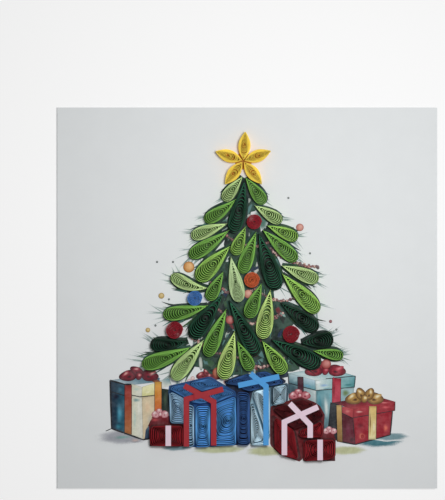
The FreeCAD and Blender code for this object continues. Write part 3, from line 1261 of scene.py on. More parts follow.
@dataclass
class Print:
    """The picture printed round the coils, as thin flat shapes on the card's face."""

    face: float
    lift: float = 0.03 * MM
    layer_step: float = 0.00012 * MM
    form: Form = field(default_factory=Form)
    laid: int = 0
    grounds: list[tuple[np.ndarray, np.ndarray, np.ndarray]] = field(default_factory=list)

    def piece(self, name: str, material: bpy.types.Material) -> bpy.types.Object:
        """Makes a piece of the shapes laid since the last one.

        Args:
            name: the piece's name.
            material: its finish.

        Returns:
            The piece.
        """
        piece = self.form.piece(name, material, "card_stock")
        LOG.info("%s: %d faces", name, len(self.form.faces))
        self.form = Form()
        return piece

    def lay(self, flat: list[Point], faces: list[tuple[int, ...]], tints: list[Tint],
            rims: list[float], washes: list[float]) -> None:
        """Lays one flat shape on what is already there.

        Args:
            flat: its points, in millimetres.
            faces: its faces, anticlockwise.
            tints: a tint a point.
            rims: 0 at a point of the shape's border and 1 well inside it.
            washes: how strong the ink is at each point.
        """
        self.laid += 1
        top = self.face + self.lift + self.laid * self.layer_step
        count = len(flat)
        edges = {(a, b) for face in faces for a, b in zip(face, face[1:] + face[:1])}
        border = [(a, b) for a, b in sorted(edges) if (b, a) not in edges]
        points = [(x * MM, y * MM, top) for x, y in flat] + [(x * MM, y * MM, self.face) for x, y in flat]
        shell = list(faces)
        shell += [tuple(count + i for i in reversed(face)) for face in faces]
        shell += [(b, a, count + a, count + b) for a, b in border]
        numbers = {"rim": rims * 2, "wash": washes * 2}
        self.form.add(points, shell, numbers, [tint.linear() for tint in tints] * 2)

    def panel(self, corners: tuple[Point, Point, Point, Point], tints: tuple[Tint, Tint, Tint, Tint],
              cells: int = 8) -> None:
        """A four-sided panel whose tints run from corner to corner.

        Args:
            corners: its corners, anticlockwise.
            tints: a tint a corner.
            cells: how many squares it has along each side.
        """
        flat, colours, rims = [], [], []
        for i in range(cells + 1):
            for j in range(cells + 1):
                u, v = i / cells, j / cells
                low, high = between(corners[0], corners[1], u), between(corners[3], corners[2], u)
                flat.append(between(low, high, v))
                first, second = tints[0].towards(tints[1], u), tints[3].towards(tints[2], u)
                colours.append(first.towards(second, v))
                rims.append(0.0 if 0 in (i, j) or cells in (i, j) else 1.0)
        row = cells + 1
        faces = [(i * row + j, (i + 1) * row + j, (i + 1) * row + j + 1, i * row + j + 1)
                 for i in range(cells) for j in range(cells)]
        held = np.array([tint.parts() for tint in colours])
        self.grounds.append((np.array(corners), np.array(flat), held))
        self.lay(flat, faces, colours, rims, [1.0] * len(flat))

    def ground_at(self, point: Point) -> Tint:
        """The tint of the panel that a point lies on, or of the nearest one.

        Args:
            point: a place in the picture.

        Returns:
            The panel's tint there.
        """
        spot = np.array(point)
        nearest, found = math.inf, None
        for corners, flat, tints in reversed(self.grounds):
            ways = np.roll(corners, -1, axis=0) - corners
            ways /= np.linalg.norm(ways, axis=1)[:, None]
            beyond = ways[:, 1] * (spot - corners)[:, 0] - ways[:, 0] * (spot - corners)[:, 1]
            outside = max(float(beyond.max()), 0.0)
            if outside < nearest:
                weights = 1.0 / (np.hypot(*(flat - spot).T) + 0.05) ** 4
                nearest, found = outside, weights @ tints / weights.sum()
        return Tint(*found.tolist())

    def blot(self, centre: Point, border: list[Point], core: Tint, rim: Tint, soft: bool = False) -> None:
        """A round or lobed shape that changes from its core to its rim.

        Args:
            centre: where its core is.
            border: its border, anticlockwise.
            core: the tint of its core.
            rim: the tint of its border.
            soft: whether it fades into the card, without a darker rim.
        """
        flat, colours, rims, washes = [centre], [core], [1.0], [1.0]
        for share, inside in ((0.45, 1.0), (0.78, 1.0), (1.0, 0.0)):
            for point in border:
                flat.append(between(centre, point, share))
                colours.append(core.towards(rim, share ** 2))
                rims.append(1.0 if soft else inside)
                washes.append(1.0 - share ** 2 if soft else 1.0)
        self.lay(flat, fan(len(border), 3), colours, rims, washes)

    def glow(self, spot: Point, size: Point, core: Tint, tilt: float = 0.0,
             ground: Tint | None = None) -> None:
        """A patch of other colour inside a field of ink, which melts into it.

        Args:
            spot: its middle.
            size: half its length and half its width.
            core: its tint.
            tilt: how far it is turned, in degrees.
            ground: the tint of the field round it, where that is no panel.
        """
        border = lobed(spot, size, tilt, 3, 0.08, 24)
        flat, colours = [spot], [core]
        for share in (0.3, 0.55, 0.78, 1.0):
            fade = share * share * (3 - 2 * share)
            for point in border:
                place = between(spot, point, share)
                flat.append(place)
                colours.append(core.towards(ground or self.ground_at(place), fade))
        self.lay(flat, fan(len(border), 4), colours, [1.0] * len(flat), [1.0] * len(flat))

    def panels(self, *rows: tuple[Any, ...]) -> None:
        """Panels, each a row of its four corners' numbers and their four tints, or one tint for all.

        Args:
            rows: the corners' numbers and the tints of each panel.
        """
        for row in rows:
            places, tints = row[:8], row[8:]
            self.panel(tuple(zip(places[::2], places[1::2])), tints if len(tints) == 4 else tints * 4)

    def glows(self, *rows: tuple[float, ...], ground: Tint | None = None) -> None:
        """Glows, each a row of its middle, half sizes, its tilt if it has one, and its tint's parts."""
        for x, y, long, wide, *rest in rows:
            self.glow((x, y), (long, wide), Tint(*rest[-3:]), rest[0] if len(rest) > 3 else 0.0, ground)

    def bed(self, points: np.ndarray, tint: Tint, grow: float) -> None:
        """The field of ink that some coils stand on, a little larger than they are; some are printed ground
        and some, with darkened tints, painted shade seen between the turns.

        Args:
            points: the corners of the coils, in millimetres.
            tint: the ink's tint.
            grow: how far it shows beyond them.
        """
        border = hull(points)
        centre = border.mean(axis=0)
        away = border - centre
        away /= np.linalg.norm(away, axis=1)[:, None]
        grown = border + grow * away
        self.blot((float(centre[0]), float(centre[1])), [tuple(p) for p in grown.tolist()], tint, tint)

    def stroke(self, path: list[Point], widths: list[float], start: Tint, end: Tint,
               faint: float = 1.0) -> None:
        """A brush stroke.

        Args:
            path: its line.
            widths: its width at each point.
            start: its tint at its start.
            end: its tint at its end.
            faint: how strong the ink is at its end.
        """
        flat, colours, washes = [], [], []
        last = len(path) - 1
        for i, (x, y) in enumerate(path):
            before, after = path[max(i - 1, 0)], path[min(i + 1, last)]
            length = math.dist(before, after)
            across = (-(after[1] - before[1]) / length, (after[0] - before[0]) / length)
            for side in (-0.5, 0.5):
                flat.append((x + side * widths[i] * across[0], y + side * widths[i] * across[1]))
                colours.append(start.towards(end, i / last))
                washes.append(1.0 + (faint - 1.0) * i / last)
        faces = [(2 * i, 2 * i + 2, 2 * i + 3, 2 * i + 1) for i in range(last)]
        self.lay(flat, faces, colours, [1.0] * len(flat), washes)


def fan(count: int, rings: int) -> list[tuple[int, ...]]:
    """The faces between a centre and rings of points round it.

    Args:
        count: how many points each ring has.
        rings: how many rings there are.

    Returns:
        The faces, for points that run from the centre outwards.
    """
    faces = [(0, 1 + i, 1 + (i + 1) % count) for i in range(count)]
    for start in range(1, 1 + (rings - 1) * count, count):
        for i in range(count):
            j = (i + 1) % count
            faces.append((start + i, start + count + i, start + count + j, start + j))
    return faces


def hull(points: np.ndarray) -> np.ndarray:
    """The convex border round some points, anticlockwise.

    Args:
        points: the points, a row each.

    Returns:
        The points of the border.
    """
    ordered = sorted({tuple(p) for p in points.tolist()})
    border = []
    for row in (ordered, ordered[::-1]):
        side = []
        for x, y in row:
            while len(side) > 1 and ((side[-1][0] - side[-2][0]) * (y - side[-2][1])
                                     <= (side[-1][1] - side[-2][1]) * (x - side[-2][0])):
                side.pop()
            side.append((x, y))
        border += side[:-1]
    return np.array(border)


def palette(*rows: tuple[int, int, int]) -> tuple[Tint, ...]:
    """Tints from rows of their parts."""
    return tuple(Tint(*row) for row in rows)


def between(start: Point, finish: Point, share: float) -> Point:
    """A point part of the way from one to another."""
    return start[0] + share * (finish[0] - start[0]), start[1] + share * (finish[1] - start[1])


def disc(centre: Point, radius: float, steps: int = 20) -> list[Point]:
    """The border of a disc."""
    turns = [2 * math.pi * i / steps for i in range(steps)]
    return [(centre[0] + radius * math.cos(a), centre[1] + radius * math.sin(a)) for a in turns]


def lobed(centre: Point, size: Point, tilt: float, lobes: int, depth: float, steps: int = 40) -> list[Point]:
    """The border of a wavy oval.

    Args:
        centre: its middle.
        size: half its length and half its width.
        tilt: how far it is turned, in degrees.
        lobes: how many waves it has.
        depth: how deep they are, against its size.
        steps: how many points it has.

    Returns:
        The border's points.
    """
    turn = math.radians(tilt)
    border = []
    for i in range(steps):
        a = 2 * math.pi * i / steps
        wave = 1 + depth * math.cos(lobes * a)
        x, y = size[0] * wave * math.cos(a), size[1] * wave * math.sin(a)
        border.append((centre[0] + x * math.cos(turn) - y * math.sin(turn),
                       centre[1] + x * math.sin(turn) + y * math.cos(turn)))
    return border


@dataclass
class PrintedFoliage:
    """Printed needles, garlands and small baubles between and round the boughs."""

    picture: Print
    boughs: list[Teardrop]
    # painted shade: a darkened tint for the field under each bough
    bough_shade_beds: list[Tint]
    shades_a_bough: int = 20
    mists_a_bough: int = 12
    halo_reach: Point = (1.8, 3.4)
    # under boughs whose shade tint is greener than light_bed, the middle of the painted shade is lightened by
    # inner_light
    inner_light: float = 0.3
    light_bed: float = 60.0
    bead_step: float = 0.85
    greens: tuple[Tint, ...] = palette((26, 56, 44), (34, 72, 60), (60, 96, 56), (24, 46, 44), (84, 132, 124),
                                       (52, 92, 50), (20, 40, 34))
    mists: tuple[Tint, ...] = palette((158, 176, 172), (140, 162, 158), (180, 192, 192), (110, 136, 130))
    depths: tuple[Tint, ...] = palette((22, 42, 36), (30, 60, 46), (20, 34, 40), (56, 92, 60), (34, 50, 82),
                                       (96, 140, 140), (120, 40, 48), (26, 50, 40), (214, 218, 210),
                                       (14, 28, 24), (16, 30, 32), (150, 184, 178))
    # printed dark foliage and painted shade round the boughs
    halo_shade_tints: tuple[Tint, ...] = palette((22, 50, 38), (30, 66, 50), (18, 38, 34), (44, 84, 72),
                                           (24, 44, 46))
    garland: tuple[Tint, ...] = palette((96, 40, 46), (140, 60, 62), (54, 26, 32), (226, 176, 164),
                                        (74, 34, 44))

    def build(self, material: bpy.types.Material) -> None:
        """Prints the foliage, from the back to the front.

        Args:
            material: the finish of the printed pieces.
        """
        rng = random.Random(7)
        self.under_wash()
        self.halos(rng)
        self.picture.piece("printed_shade", material)
        self.needles(rng)
        self.picture.piece("printed_needles", material)
        self.garlands(rng)
        self.small_baubles()
        self.picture.piece("printed_garlands", material)
        self.beds()
        self.picture.piece("printed_beds", material)

    def under_wash(self) -> None:
        """The shade inside the tree."""
        rng = random.Random(21)
        spots = (((-1.0, 38.0), (3.2, 9.0), 5), ((-1.0, 22.0), (8.0, 9.0), 7), ((-1.0, 6.0), (12.0, 10.0), 8),
                 ((0.0, -9.0), (18.0, 11.0), 9), ((0.0, -23.0), (24.0, 8.0), 9))
        sage, mint = Tint(72, 116, 104), Tint(150, 176, 168)
        for spot, size in (((5.4, 30.6), (4.4, 4.2)), ((9.4, 25.0), (3.4, 3.0)), ((-9.6, 29.6), (3.2, 3.6))):
            self.picture.blot(spot, lobed(spot, size, 20.0, 4, 0.14), sage, mint, soft=True)
        for side in (-1.0, 1.0):
            path = [(-1.2 + side * 0.6, 47.4), (-1.0 + side * 1.6, 42.0), (-0.6 + side * 2.8, 34.0)]
            self.picture.stroke(path, [0.8, 2.0, 2.4], Tint(96, 150, 142), Tint(34, 74, 62))
        for centre, size, lobes in spots:
            border = lobed(centre, size, 0.0, lobes, 0.08)
            self.picture.blot(centre, border, Tint(28, 54, 44), Tint(60, 92, 78))
        for centre, size, lobes in spots:
            for _ in range(int(size[0] * size[1] / 3.0)):
                turn, far = rng.uniform(0.0, 2 * math.pi), math.sqrt(rng.random()) * 0.92
                spot = (centre[0] + far * size[0] * math.cos(turn),
                        centre[1] + far * size[1] * math.sin(turn))
                tint = rng.choice(self.depths)
                patch = (rng.uniform(0.9, 2.6), rng.uniform(0.6, 1.3))
                border = lobed(spot, patch, rng.uniform(0.0, 180.0), rng.choice((2, 3, 4)), 0.18, 18)
                self.picture.blot(spot, border, tint, tint.towards(Tint(60, 84, 76), 0.4))

    def halos(self, rng: random.Random) -> None:
        """Dark ink round the pinched half of each bough, which fills the angles between them: printed dark
        foliage that also paints the shade round each bough.

        Args:
            rng: what varies them.
        """
        for coil in self.boughs:
            line, widths = coil.bed(0.1)
            count = len(line)
            reach = rng.uniform(*self.halo_reach)
            grown = [width + reach * (1 - i / count) ** 0.7 for i, width in enumerate(widths)]
            self.picture.stroke(line, grown, rng.choice(self.halo_shade_tints), rng.choice(self.halo_shade_tints), 0.9)

    def beds(self) -> None:
        """Darker printed fields under the boughs and the star's petals, a painted shade that shows in the
        gaps between their turns; under light boughs the middle is less dark.
        """
        # painted shade under each bough, seen between its turns
        for coil, tint in zip(self.boughs, self.bough_shade_beds):
            line, widths = coil.bed(0.15)
            self.picture.stroke(line, widths, tint, tint)
            line, widths = coil.bed(-0.2)
            share = self.inner_light if tint.green > self.light_bed else 0.0
            inner = tint.towards(Tint(190, 226, 130), share)
            self.picture.stroke(line[2:-1], widths[2:-1], inner, inner)
        # painted shade: darker gold under each petal, seen in the gaps between its turns
        petals = outlines_of("star")
        for outline in petals:
            self.picture.bed(outline / MM, Tint(206, 128, 16), 0.05)
        # painted shade: a darker gold disc where the petals meet
        middle = np.mean([outline.mean(axis=0) for outline in petals], axis=0) / MM
        self.picture.blot(tuple(middle.tolist()), disc(tuple(middle.tolist()), 3.4, 15), Tint(176, 112, 30),
                          Tint(214, 156, 50))

    def needles(self, rng: random.Random) -> None:
        """Dark strokes along the flanks of each bough.

        Args:
            rng: what varies them.
        """
        for coil in self.boughs:
            for _ in range(self.shades_a_bough):
                self.needle(coil, (0.1, 0.66), (0.5, 1.2), (2.0, 16.0), (0.28, 0.44), (0.5, 1.1),
                            self.greens, 0.85, rng)

    def mist(self, material: bpy.types.Material) -> None:
        """Long pale needles past the ends of the boughs, printed before all else.

        Args:
            material: the finish of the printed pieces.
        """
        rng = random.Random(11)
        for coil in self.boughs:
            for _ in range(self.mists_a_bough):
                self.needle(coil, (0.7, 0.98), (0.1, 0.9), (6.0, 40.0), (0.25, 0.52), (0.3, 0.62),
                            self.mists, 0.05, rng)
        self.picture.piece("printed_mist", material)

    def needle(self, coil: Teardrop, shares: Point, sides: Point, spreads: Point, reaches: Point,
               widths: Point, tints: tuple[Tint, ...], faint: float, rng: random.Random) -> None:
        """One needle by a bough.

        Args:
            coil: the bough.
            shares: the least and the most of how far along the bough it starts.
            sides: the same of how far out it starts, against the bough's half width.
            spreads: the same of the angle that it makes with the bough, in degrees.
            reaches: the same of its length, against the bough's.
            widths: the same of its width, in millimetres.
            tints: the tints to choose from.
            faint: how strong the ink is at its point.
            rng: what varies it.
        """
        side = rng.choice((-1.0, 1.0))
        along = np.array([rng.uniform(*shares) * coil.length])
        spot, left = coil.on_axis(along)
        root = (spot[0] + left[0] * side * rng.uniform(*sides) * float(coil.half_width(along)[0])) / MM
        spread = math.radians(rng.uniform(*spreads)) * side
        way = (left[0][1] * math.cos(spread) + left[0][0] * math.sin(spread),
               left[0][1] * math.sin(spread) - left[0][0] * math.cos(spread))
        reach = rng.uniform(*reaches) * coil.length / MM
        curl = rng.uniform(-0.16, 0.16) * reach
        path = []
        for t in (0.0, 0.2, 0.4, 0.6, 0.8, 1.0):
            bow = curl * t * t
            path.append((float(root[0]) + way[0] * reach * t - way[1] * bow,
                         float(root[1]) + way[1] * reach * t + way[0] * bow))
        wide = rng.uniform(*widths)
        self.picture.stroke(path, [wide * w for w in (0.8, 1.0, 0.85, 0.6, 0.35, 0.06)],
                            rng.choice(tints), rng.choice(tints), faint)

    def garlands(self, rng: random.Random) -> None:
        """Bead garlands that hang across the tree.

        Args:
            rng: what varies them.
        """
        for *ends, sag in ((-8.0, 24.5, 9.0, 22.5, 3.0), (5.0, 22.0, 28.0, 12.0, 2.0),
                           (-16.0, 8.0, 4.0, 4.0, 4.0), (6.0, 1.5, 22.0, 1.0, 2.2),
                           (-12.0, -4.0, 14.0, -6.0, 5.0), (-22.0, -15.0, 4.0, -22.0, 4.0),
                           (-1.0, -26.0, 14.0, -24.0, 2.0)):
            start, finish = tuple(ends[:2]), tuple(ends[2:])
            count = int(math.dist(start, finish) / self.bead_step)
            for i in range(count + 1):
                t = i / count
                x, y = between(start, finish, t)
                drop = sag * 4 * t * (1 - t)
                for _ in range(2):
                    spot = (x + rng.uniform(-0.4, 0.4), y - drop + rng.uniform(-0.4, 0.4))
                    self.ball(spot, rng.uniform(0.36, 0.6), rng.choice(self.garland))

    def ball(self, spot: Point, radius: float, tint: Tint) -> None:
        """A printed ball with a highlight at its upper right.

        Args:
            spot: its middle.
            radius: its radius, in millimetres.
            tint: its colour, before light and shade.
        """
        core = (spot[0] + 0.3 * radius, spot[1] + 0.3 * radius)
        self.picture.blot(core, disc(spot, radius, 18), tint.towards(Tint(255, 250, 240), 0.45),
                          tint.towards(Tint(30, 15, 15), 0.25))

    def small_baubles(self) -> None:
        """Printed baubles and loose dots of paint."""
        for x, y, radius, *parts in (
                (-22.9, 12.2, 2.2, 226, 140, 44), (20.8, 27.8, 1.5, 214, 120, 104),
                (-6.7, -8.6, 1.7, 190, 62, 60), (0.4, 1.6, 1.7, 214, 118, 98),
                (-11.4, -29.4, 2.2, 196, 84, 50), (-33.7, 0.9, 1.15, 214, 176, 84),
                (-39.0, -12.6, 0.9, 214, 176, 84), (32.9, -9.2, 0.6, 130, 40, 52),
                (31.2, -26.0, 1.9, 190, 62, 60), (20.0, -7.6, 1.3, 206, 150, 130)):
            self.ball((x, y), radius, Tint(*parts))
        for spot in ((16.3, 39.4), (24.8, 17.6), (-30.7, -0.5), (-35.4, 14.2), (-29.1, 14.2), (-36.0, -10.8),
                     (35.2, -12.4)):
            self.ball(spot, 0.4, Tint(66, 82, 84))


@dataclass
class PrintedPresents:
    """The printed presents behind the quilled ones, their bows, and the colour on the ground."""

    picture: Print
    outline: Tint = Tint(22, 24, 32)
    beds: tuple[tuple[tuple[str, ...], Tint, float], ...] = (
        (("tall_gift_lid", "tall_gift_side"), Tint(14, 28, 56), 0.3),
        (("tall_gift_side", "blue_gift_right"), Tint(16, 36, 70), 0.2),
        (("tall_gift_front_high", "tall_gift_right"), Tint(90, 124, 144), 0.3),
        (("tall_gift_lid",), Tint(14, 26, 58), 0.7),
        (("tall_gift_front_low", "tall_gift_front_high"), Tint(150, 188, 204), 0.4),
        (("blue_gift_left", "blue_gift_lid"), Tint(42, 90, 144), 0.4),
        (("blue_gift_narrow", "blue_gift_middle", "blue_gift_right", "blue_gift_lid"),
         Tint(38, 92, 156), 0.4),
        (("tall_gift_side",), Tint(20, 40, 84), 0.3),
        (("red_gift_left", "red_gift_right", "red_gift_lid"), Tint(112, 16, 26), 0.5),
        (("small_gift_left",), Tint(118, 16, 26), 0.3),
        (("small_gift_right",), Tint(118, 16, 26), 0.3),
    )

    def build(self, material: bpy.types.Material) -> None:
        """Prints the presents, from the ground up.

        Args:
            material: the finish of the printed pieces.
        """
        self.ground()
        self.picture.piece("printed_ground", material)
        self.left_box()
        self.right_box()
        self.shadows()
        self.red_box()
        self.small_tops()
        self.behind_the_presents()
        self.picture.piece("printed_presents", material)

    def shadows(self) -> None:
        """Near black shade between the boxes, and the box that peeps out behind the tall present."""
        dark, grey = Tint(30, 34, 40), Tint(64, 70, 74)
        self.picture.panels(
            (31.6, -54.0, 35.6, -56.4, 35.4, -42.0, 32.8, -41.0, dark, dark, grey, dark),
            (2.0, -34.0, 16.4, -31.0, 15.8, -27.4, 3.0, -26.4,
             dark, Tint(46, 60, 72), Tint(40, 56, 90), Tint(24, 36, 74)),
        )

    def behind_the_presents(self) -> None:
        """The printed boxes that the quilled faces and lids are glued on, and under each face or lid a darker
        copy of their ink, a painted shade that shows between its turns.
        """
        for node in ("small_gift_left", "small_gift_right"):
            outline = outlines_of(node)[0] / MM
            (left, low), (right, high) = outline.min(axis=0), outline.max(axis=0)
            self.picture.panels((left, low, right, low, right, high, left, high, Tint(92, 14, 24)))
        for nodes, tint, grow in self.beds:
            loops = [loop / MM for node in nodes for loop in outlines_of(node)]
            self.picture.bed(np.vstack(loops), tint, grow)
            # painted shade: a darker copy of the ink under each coil, seen in the gaps between its turns
            for loop in loops:
                self.picture.bed(loop, tint.towards(Tint(0, 0, 0), 0.35), -0.1)

    def ground(self) -> None:
        """Soft washes of colour on the ground."""
        grey, teal, lime, sea = palette((168, 170, 178), (120, 152, 160), (196, 200, 158), (66, 122, 134))
        for x, y, long, wide, tint in ((-48.0, -54.6, 12.0, 3.4, grey), (-28.0, -58.8, 6.5, 1.6, teal),
                                       (52.0, -56.6, 10.5, 2.4, sea), (56.5, -54.6, 8.0, 1.8, teal),
                                       (-11.0, -59.6, 12.0, 1.8, lime), (8.0, -60.2, 9.5, 2.4, lime),
                                       (39.0, -60.0, 9.0, 2.0, lime)):
            self.picture.blot((x, y), lobed((x, y), (long, wide), 1.5, 7, 0.05), tint, tint, soft=True)
        self.picture.glows((-49.0, -54.8, 4.4, 0.9, 4.0, 124, 166, 160),
                           (-44.0, -56.0, 2.2, 0.9, 206, 184, 178), ground=grey)

    def line(self, start: Point, finish: Point, width: float) -> None:
        """A thin drawn line."""
        self.picture.stroke([start, between(start, finish, 0.5), finish], [width * 0.8, width, width * 0.7],
                            self.outline, self.outline)

    def lines(self, width: float, *rows: tuple[float, ...]) -> None:
        """Thin drawn lines, each a row of the places that it runs through.

        Args:
            width: how wide the lines are, in millimetres.
            rows: the x and y of each place on a line, one row a line.
        """
        for row in rows:
            places = list(zip(row[::2], row[1::2]))
            for start, finish in zip(places, places[1:]):
                self.line(start, finish, width)

    def band(self, top: Point, foot: Point, width: float, upper: Tint, lower: Tint) -> None:
        """An upright printed ribbon with thin drawn sides.

        Args:
            top: the middle of its upper end.
            foot: the middle of its lower end.
            width: how wide it is, in millimetres.
            upper: its tint at the top.
            lower: its tint at the foot.
        """
        half = width / 2
        corners = ((foot[0] - half, foot[1]), (foot[0] + half, foot[1]), (top[0] + half, top[1]),
                   (top[0] - half, top[1]))
        self.picture.panel(corners, (lower, lower, upper, upper), 6)
        for side in (-half, half):
            self.line((top[0] + side, top[1]), (foot[0] + side, foot[1]), 0.18)

    def bow(self, knot: Point, width: float, height: float, tint: Tint, pale: Tint, shade: Tint,
            loops: int) -> None:
        """A bow of a few loops and a knot.

        Args:
            knot: its middle.
            width: how wide it is.
            height: how high it is.
            tint: its colour.
            pale: the tint of its highlights.
            shade: the tint of its folds.
            loops: how many loops it has, two to four.
        """
        rim = tint.towards(shade, 0.75)
        size = 1.0 if loops > 2 else 1.2
        upper = ((-0.05, 0.26, 0.19, 0.24, 152.0),) if loops == 3 else ((-0.1, 0.25, 0.17, 0.26, 112.0),
                                                                        (0.14, 0.24, 0.17, 0.25, 62.0))
        sides = ((-0.28, 0.0, 0.24, 0.31, 190.0), (0.29, 0.0, 0.23, 0.32, -8.0))
        for x, y, long, wide, tilt in (sides + upper)[:loops]:
            spot = (knot[0] + x * width, knot[1] + y * height)
            reach = (size * long * width, size * wide * height)
            self.picture.blot(spot, lobed(spot, reach, tilt, 3, 0.06, 26), tint, rim)
            hole = between(knot, spot, 0.9)
            hollow = (reach[0] * 0.42, reach[1] * 0.36)
            self.picture.glow((hole[0], hole[1] - 0.06 * height), hollow, shade, tilt, tint)
            shine = (spot[0] + x * 0.24 * width, spot[1] + 0.12 * height)
            self.picture.glow(shine, (reach[0] * 0.5, reach[1] * 0.38), pale, tilt + 30.0, tint)
        self.picture.blot(knot, lobed(knot, (0.11 * width, 0.2 * height), 80.0, 2, 0.06, 20), tint, rim)
        shine = (knot[0] + 0.02 * width, knot[1] + 0.04 * height)
        self.picture.glow(shine, (0.06 * width, 0.11 * height), pale, 0.0, tint)

    def left_box(self) -> None:
        """The teal and cream present at the left."""
        picture = self.picture
        night, teal, cream, wheat = palette((14, 40, 60), (24, 92, 116), (220, 220, 196), (226, 208, 174))
        mist, pine, white = palette((178, 194, 202), (56, 104, 126), (228, 228, 216))
        straw, ivory, dusk, brown = palette((230, 226, 160), (238, 236, 190), (52, 74, 104), (128, 72, 46))
        picture.panels(
            (-53.9, -32.4, -46.5, -34.4, -33.0, -32.8, -40.0, -30.2, mist, mist, pine, pine),
            (-33.5, -35.4, -29.6, -34.4, -30.6, -31.6, -35.0, -32.6, white, white, Tint(96, 142, 156), white),
            (-53.3, -51.4, -48.2, -53.2, -48.2, -38.2, -53.6, -36.6, night, teal, teal, night),
            (-53.6, -36.8, -48.2, -38.4, -48.2, -33.9, -53.9, -32.4, night, teal, Tint(40, 84, 104), night),
            (-45.5, -54.3, -40.9, -55.7, -41.4, -38.8, -45.5, -38.0, cream, white, white, cream),
            (-40.9, -55.7, -36.2, -54.6, -36.2, -38.2, -41.4, -38.8, wheat),
            (-45.5, -38.2, -41.4, -38.9, -41.3, -35.0, -45.5, -33.8, cream, white, white, cream),
            (-41.4, -38.9, -36.2, -38.3, -36.2, -33.4, -41.3, -35.0, straw, straw, ivory, ivory),
        )
        picture.glows(
            (-50.2, -45.6, 1.6, 5.4, 76, 160, 186), (-50.6, -50.6, 1.8, 1.6, 40, 128, 148),
            (-51.6, -38.8, 1.6, 1.6, 16, 20, 44), (-49.9, -36.0, 1.4, 1.3, 66, 120, 140),
            (-44.2, -47.5, 0.8, 6.0, 196, 216, 204), (-42.6, -44.0, 0.7, 5.0, 238, 238, 226),
            (-43.6, -40.2, 1.9, 1.0, 128, 160, 160), (-39.2, -43.0, 1.6, 3.2, 236, 206, 170),
            (-38.2, -47.8, 1.6, 2.8, 198, 190, 172), (-39.0, -37.0, 1.6, 0.7, 244, 240, 200),
            (-43.6, -35.9, 1.6, 0.9, 196, 216, 204), (-36.6, -31.8, 2.2, 0.8, 46, 100, 124),
        )
        picture.panel(((-40.3, -55.8), (-37.6, -55.1), (-37.6, -48.6), (-39.9, -52.0)), (dusk,) * 4, 4)
        picture.glows((-38.8, -52.4, 1.0, 2.4, 84, 118, 140))
        picture.panel(((-38.6, -32.0), (-36.3, -33.4), (-33.5, -33.2), (-35.8, -31.8)), (brown,) * 4, 4)
        picture.panels((-33.6, -46.5, -30.8, -46.5, -30.8, -36.0, -33.6, -35.6, Tint(24, 44, 34)))
        picture.glows((-32.2, -40.0, 0.9, 3.4, 60, 84, 56))
        self.band((-46.8, -34.3), (-46.8, -53.7), 2.8, Tint(156, 44, 40), Tint(178, 112, 56))
        self.band((-35.0, -33.0), (-35.0, -53.7), 2.8, Tint(224, 166, 62), Tint(206, 58, 42))
        self.lines(0.7, (-53.9, -32.4, -53.3, -51.4, -48.2, -53.2, -40.9, -55.8, -37.8, -55.2),
                   (-53.9, -32.4, -48.2, -34.0, -45.5, -34.0))
        self.lines(0.36, (-53.6, -36.8, -48.2, -38.4), (-45.5, -38.2, -42.2, -38.9, -36.3, -38.3),
                   (-55.6, -52.4, -53.3, -51.4))
        self.bow((-42.6, -30.6), 14.8, 7.0, Tint(132, 28, 48), Tint(236, 184, 174), Tint(50, 10, 22), 3)

    def right_box(self) -> None:
        """The pale blue present at the right."""
        picture = self.picture
        slate, sea, ice, haze = palette((66, 100, 112), (108, 166, 176), (226, 238, 236), (176, 202, 206))
        picture.panels(
            (16.2, -29.6, 26.9, -32.6, 42.7, -30.7, 31.0, -27.2, haze, ice, Tint(120, 172, 180), haze),
            (17.0, -48.0, 27.4, -53.0, 27.2, -36.2, 16.4, -33.2, slate, slate, ice, slate),
            (27.4, -53.0, 41.0, -49.6, 42.2, -35.2, 27.2, -36.2, slate, haze, haze, sea),
            (16.4, -33.4, 27.1, -36.3, 26.9, -32.4, 16.2, -29.6, slate, sea, Tint(196, 218, 232), haze),
            (27.1, -36.3, 42.4, -35.0, 42.7, -30.7, 26.9, -32.4, ice, Tint(70, 142, 144), sea, ice),
        )
        picture.glows(
            (19.4, -32.2, 2.0, 1.0, 12.0, 150, 182, 188), (18.6, -36.6, 2.2, 2.6, 40, 62, 72),
            (24.2, -37.6, 2.2, 1.0, -12.0, 190, 216, 214), (24.0, -42.6, 2.6, 3.6, 160, 196, 198),
            (28.6, -42.0, 1.1, 5.0, 62, 138, 156), (31.2, -43.0, 1.2, 5.6, 4.0, 232, 240, 236),
            (33.0, -38.6, 1.2, 2.0, 110, 178, 190), (29.6, -48.6, 1.8, 2.6, 120, 172, 178),
            (29.4, -51.0, 1.8, 1.4, 10.0, 44, 66, 82), (38.8, -37.4, 1.9, 1.8, 112, 134, 84),
            (40.0, -42.0, 1.2, 2.4, 188, 208, 196), (28.2, -33.2, 1.2, 0.7, 6.0, 244, 248, 250),
            (30.4, -34.4, 2.4, 0.8, 4.0, 150, 184, 220), (31.6, -35.6, 2.4, 0.5, 4.0, 120, 164, 176),
            (39.6, -32.0, 2.2, 0.8, 6.0, 130, 178, 182), (39.8, -34.2, 2.2, 0.6, 4.0, 48, 118, 124),
            (23.8, -34.6, 2.0, 0.8, -12.0, 110, 168, 198), (22.0, -30.0, 3.2, 0.6, -4.0, 206, 224, 228),
            (37.2, -30.4, 2.6, 0.5, 6.0, 206, 226, 228),
        )
        self.lines(0.34, (27.1, -36.4, 42.4, -35.1), (16.4, -33.5, 27.1, -36.4), (42.7, -30.7, 42.3, -35.1),
                   (16.2, -29.6, 16.6, -40.0), (31.0, -31.8, 42.7, -30.7))
        self.band((21.0, -31.0), (21.4, -50.0), 2.3, Tint(70, 24, 42), Tint(54, 22, 36))
        self.band((35.3, -31.6), (35.0, -51.0), 3.4, Tint(180, 40, 62), Tint(206, 96, 116))
        picture.glows((34.2, -36.0, 0.5, 5.0, 116, 16, 36), ground=Tint(186, 50, 70))
        self.bow((30.8, -28.6), 15.4, 7.2, Tint(166, 40, 58), Tint(222, 130, 138), Tint(64, 12, 26), 3)

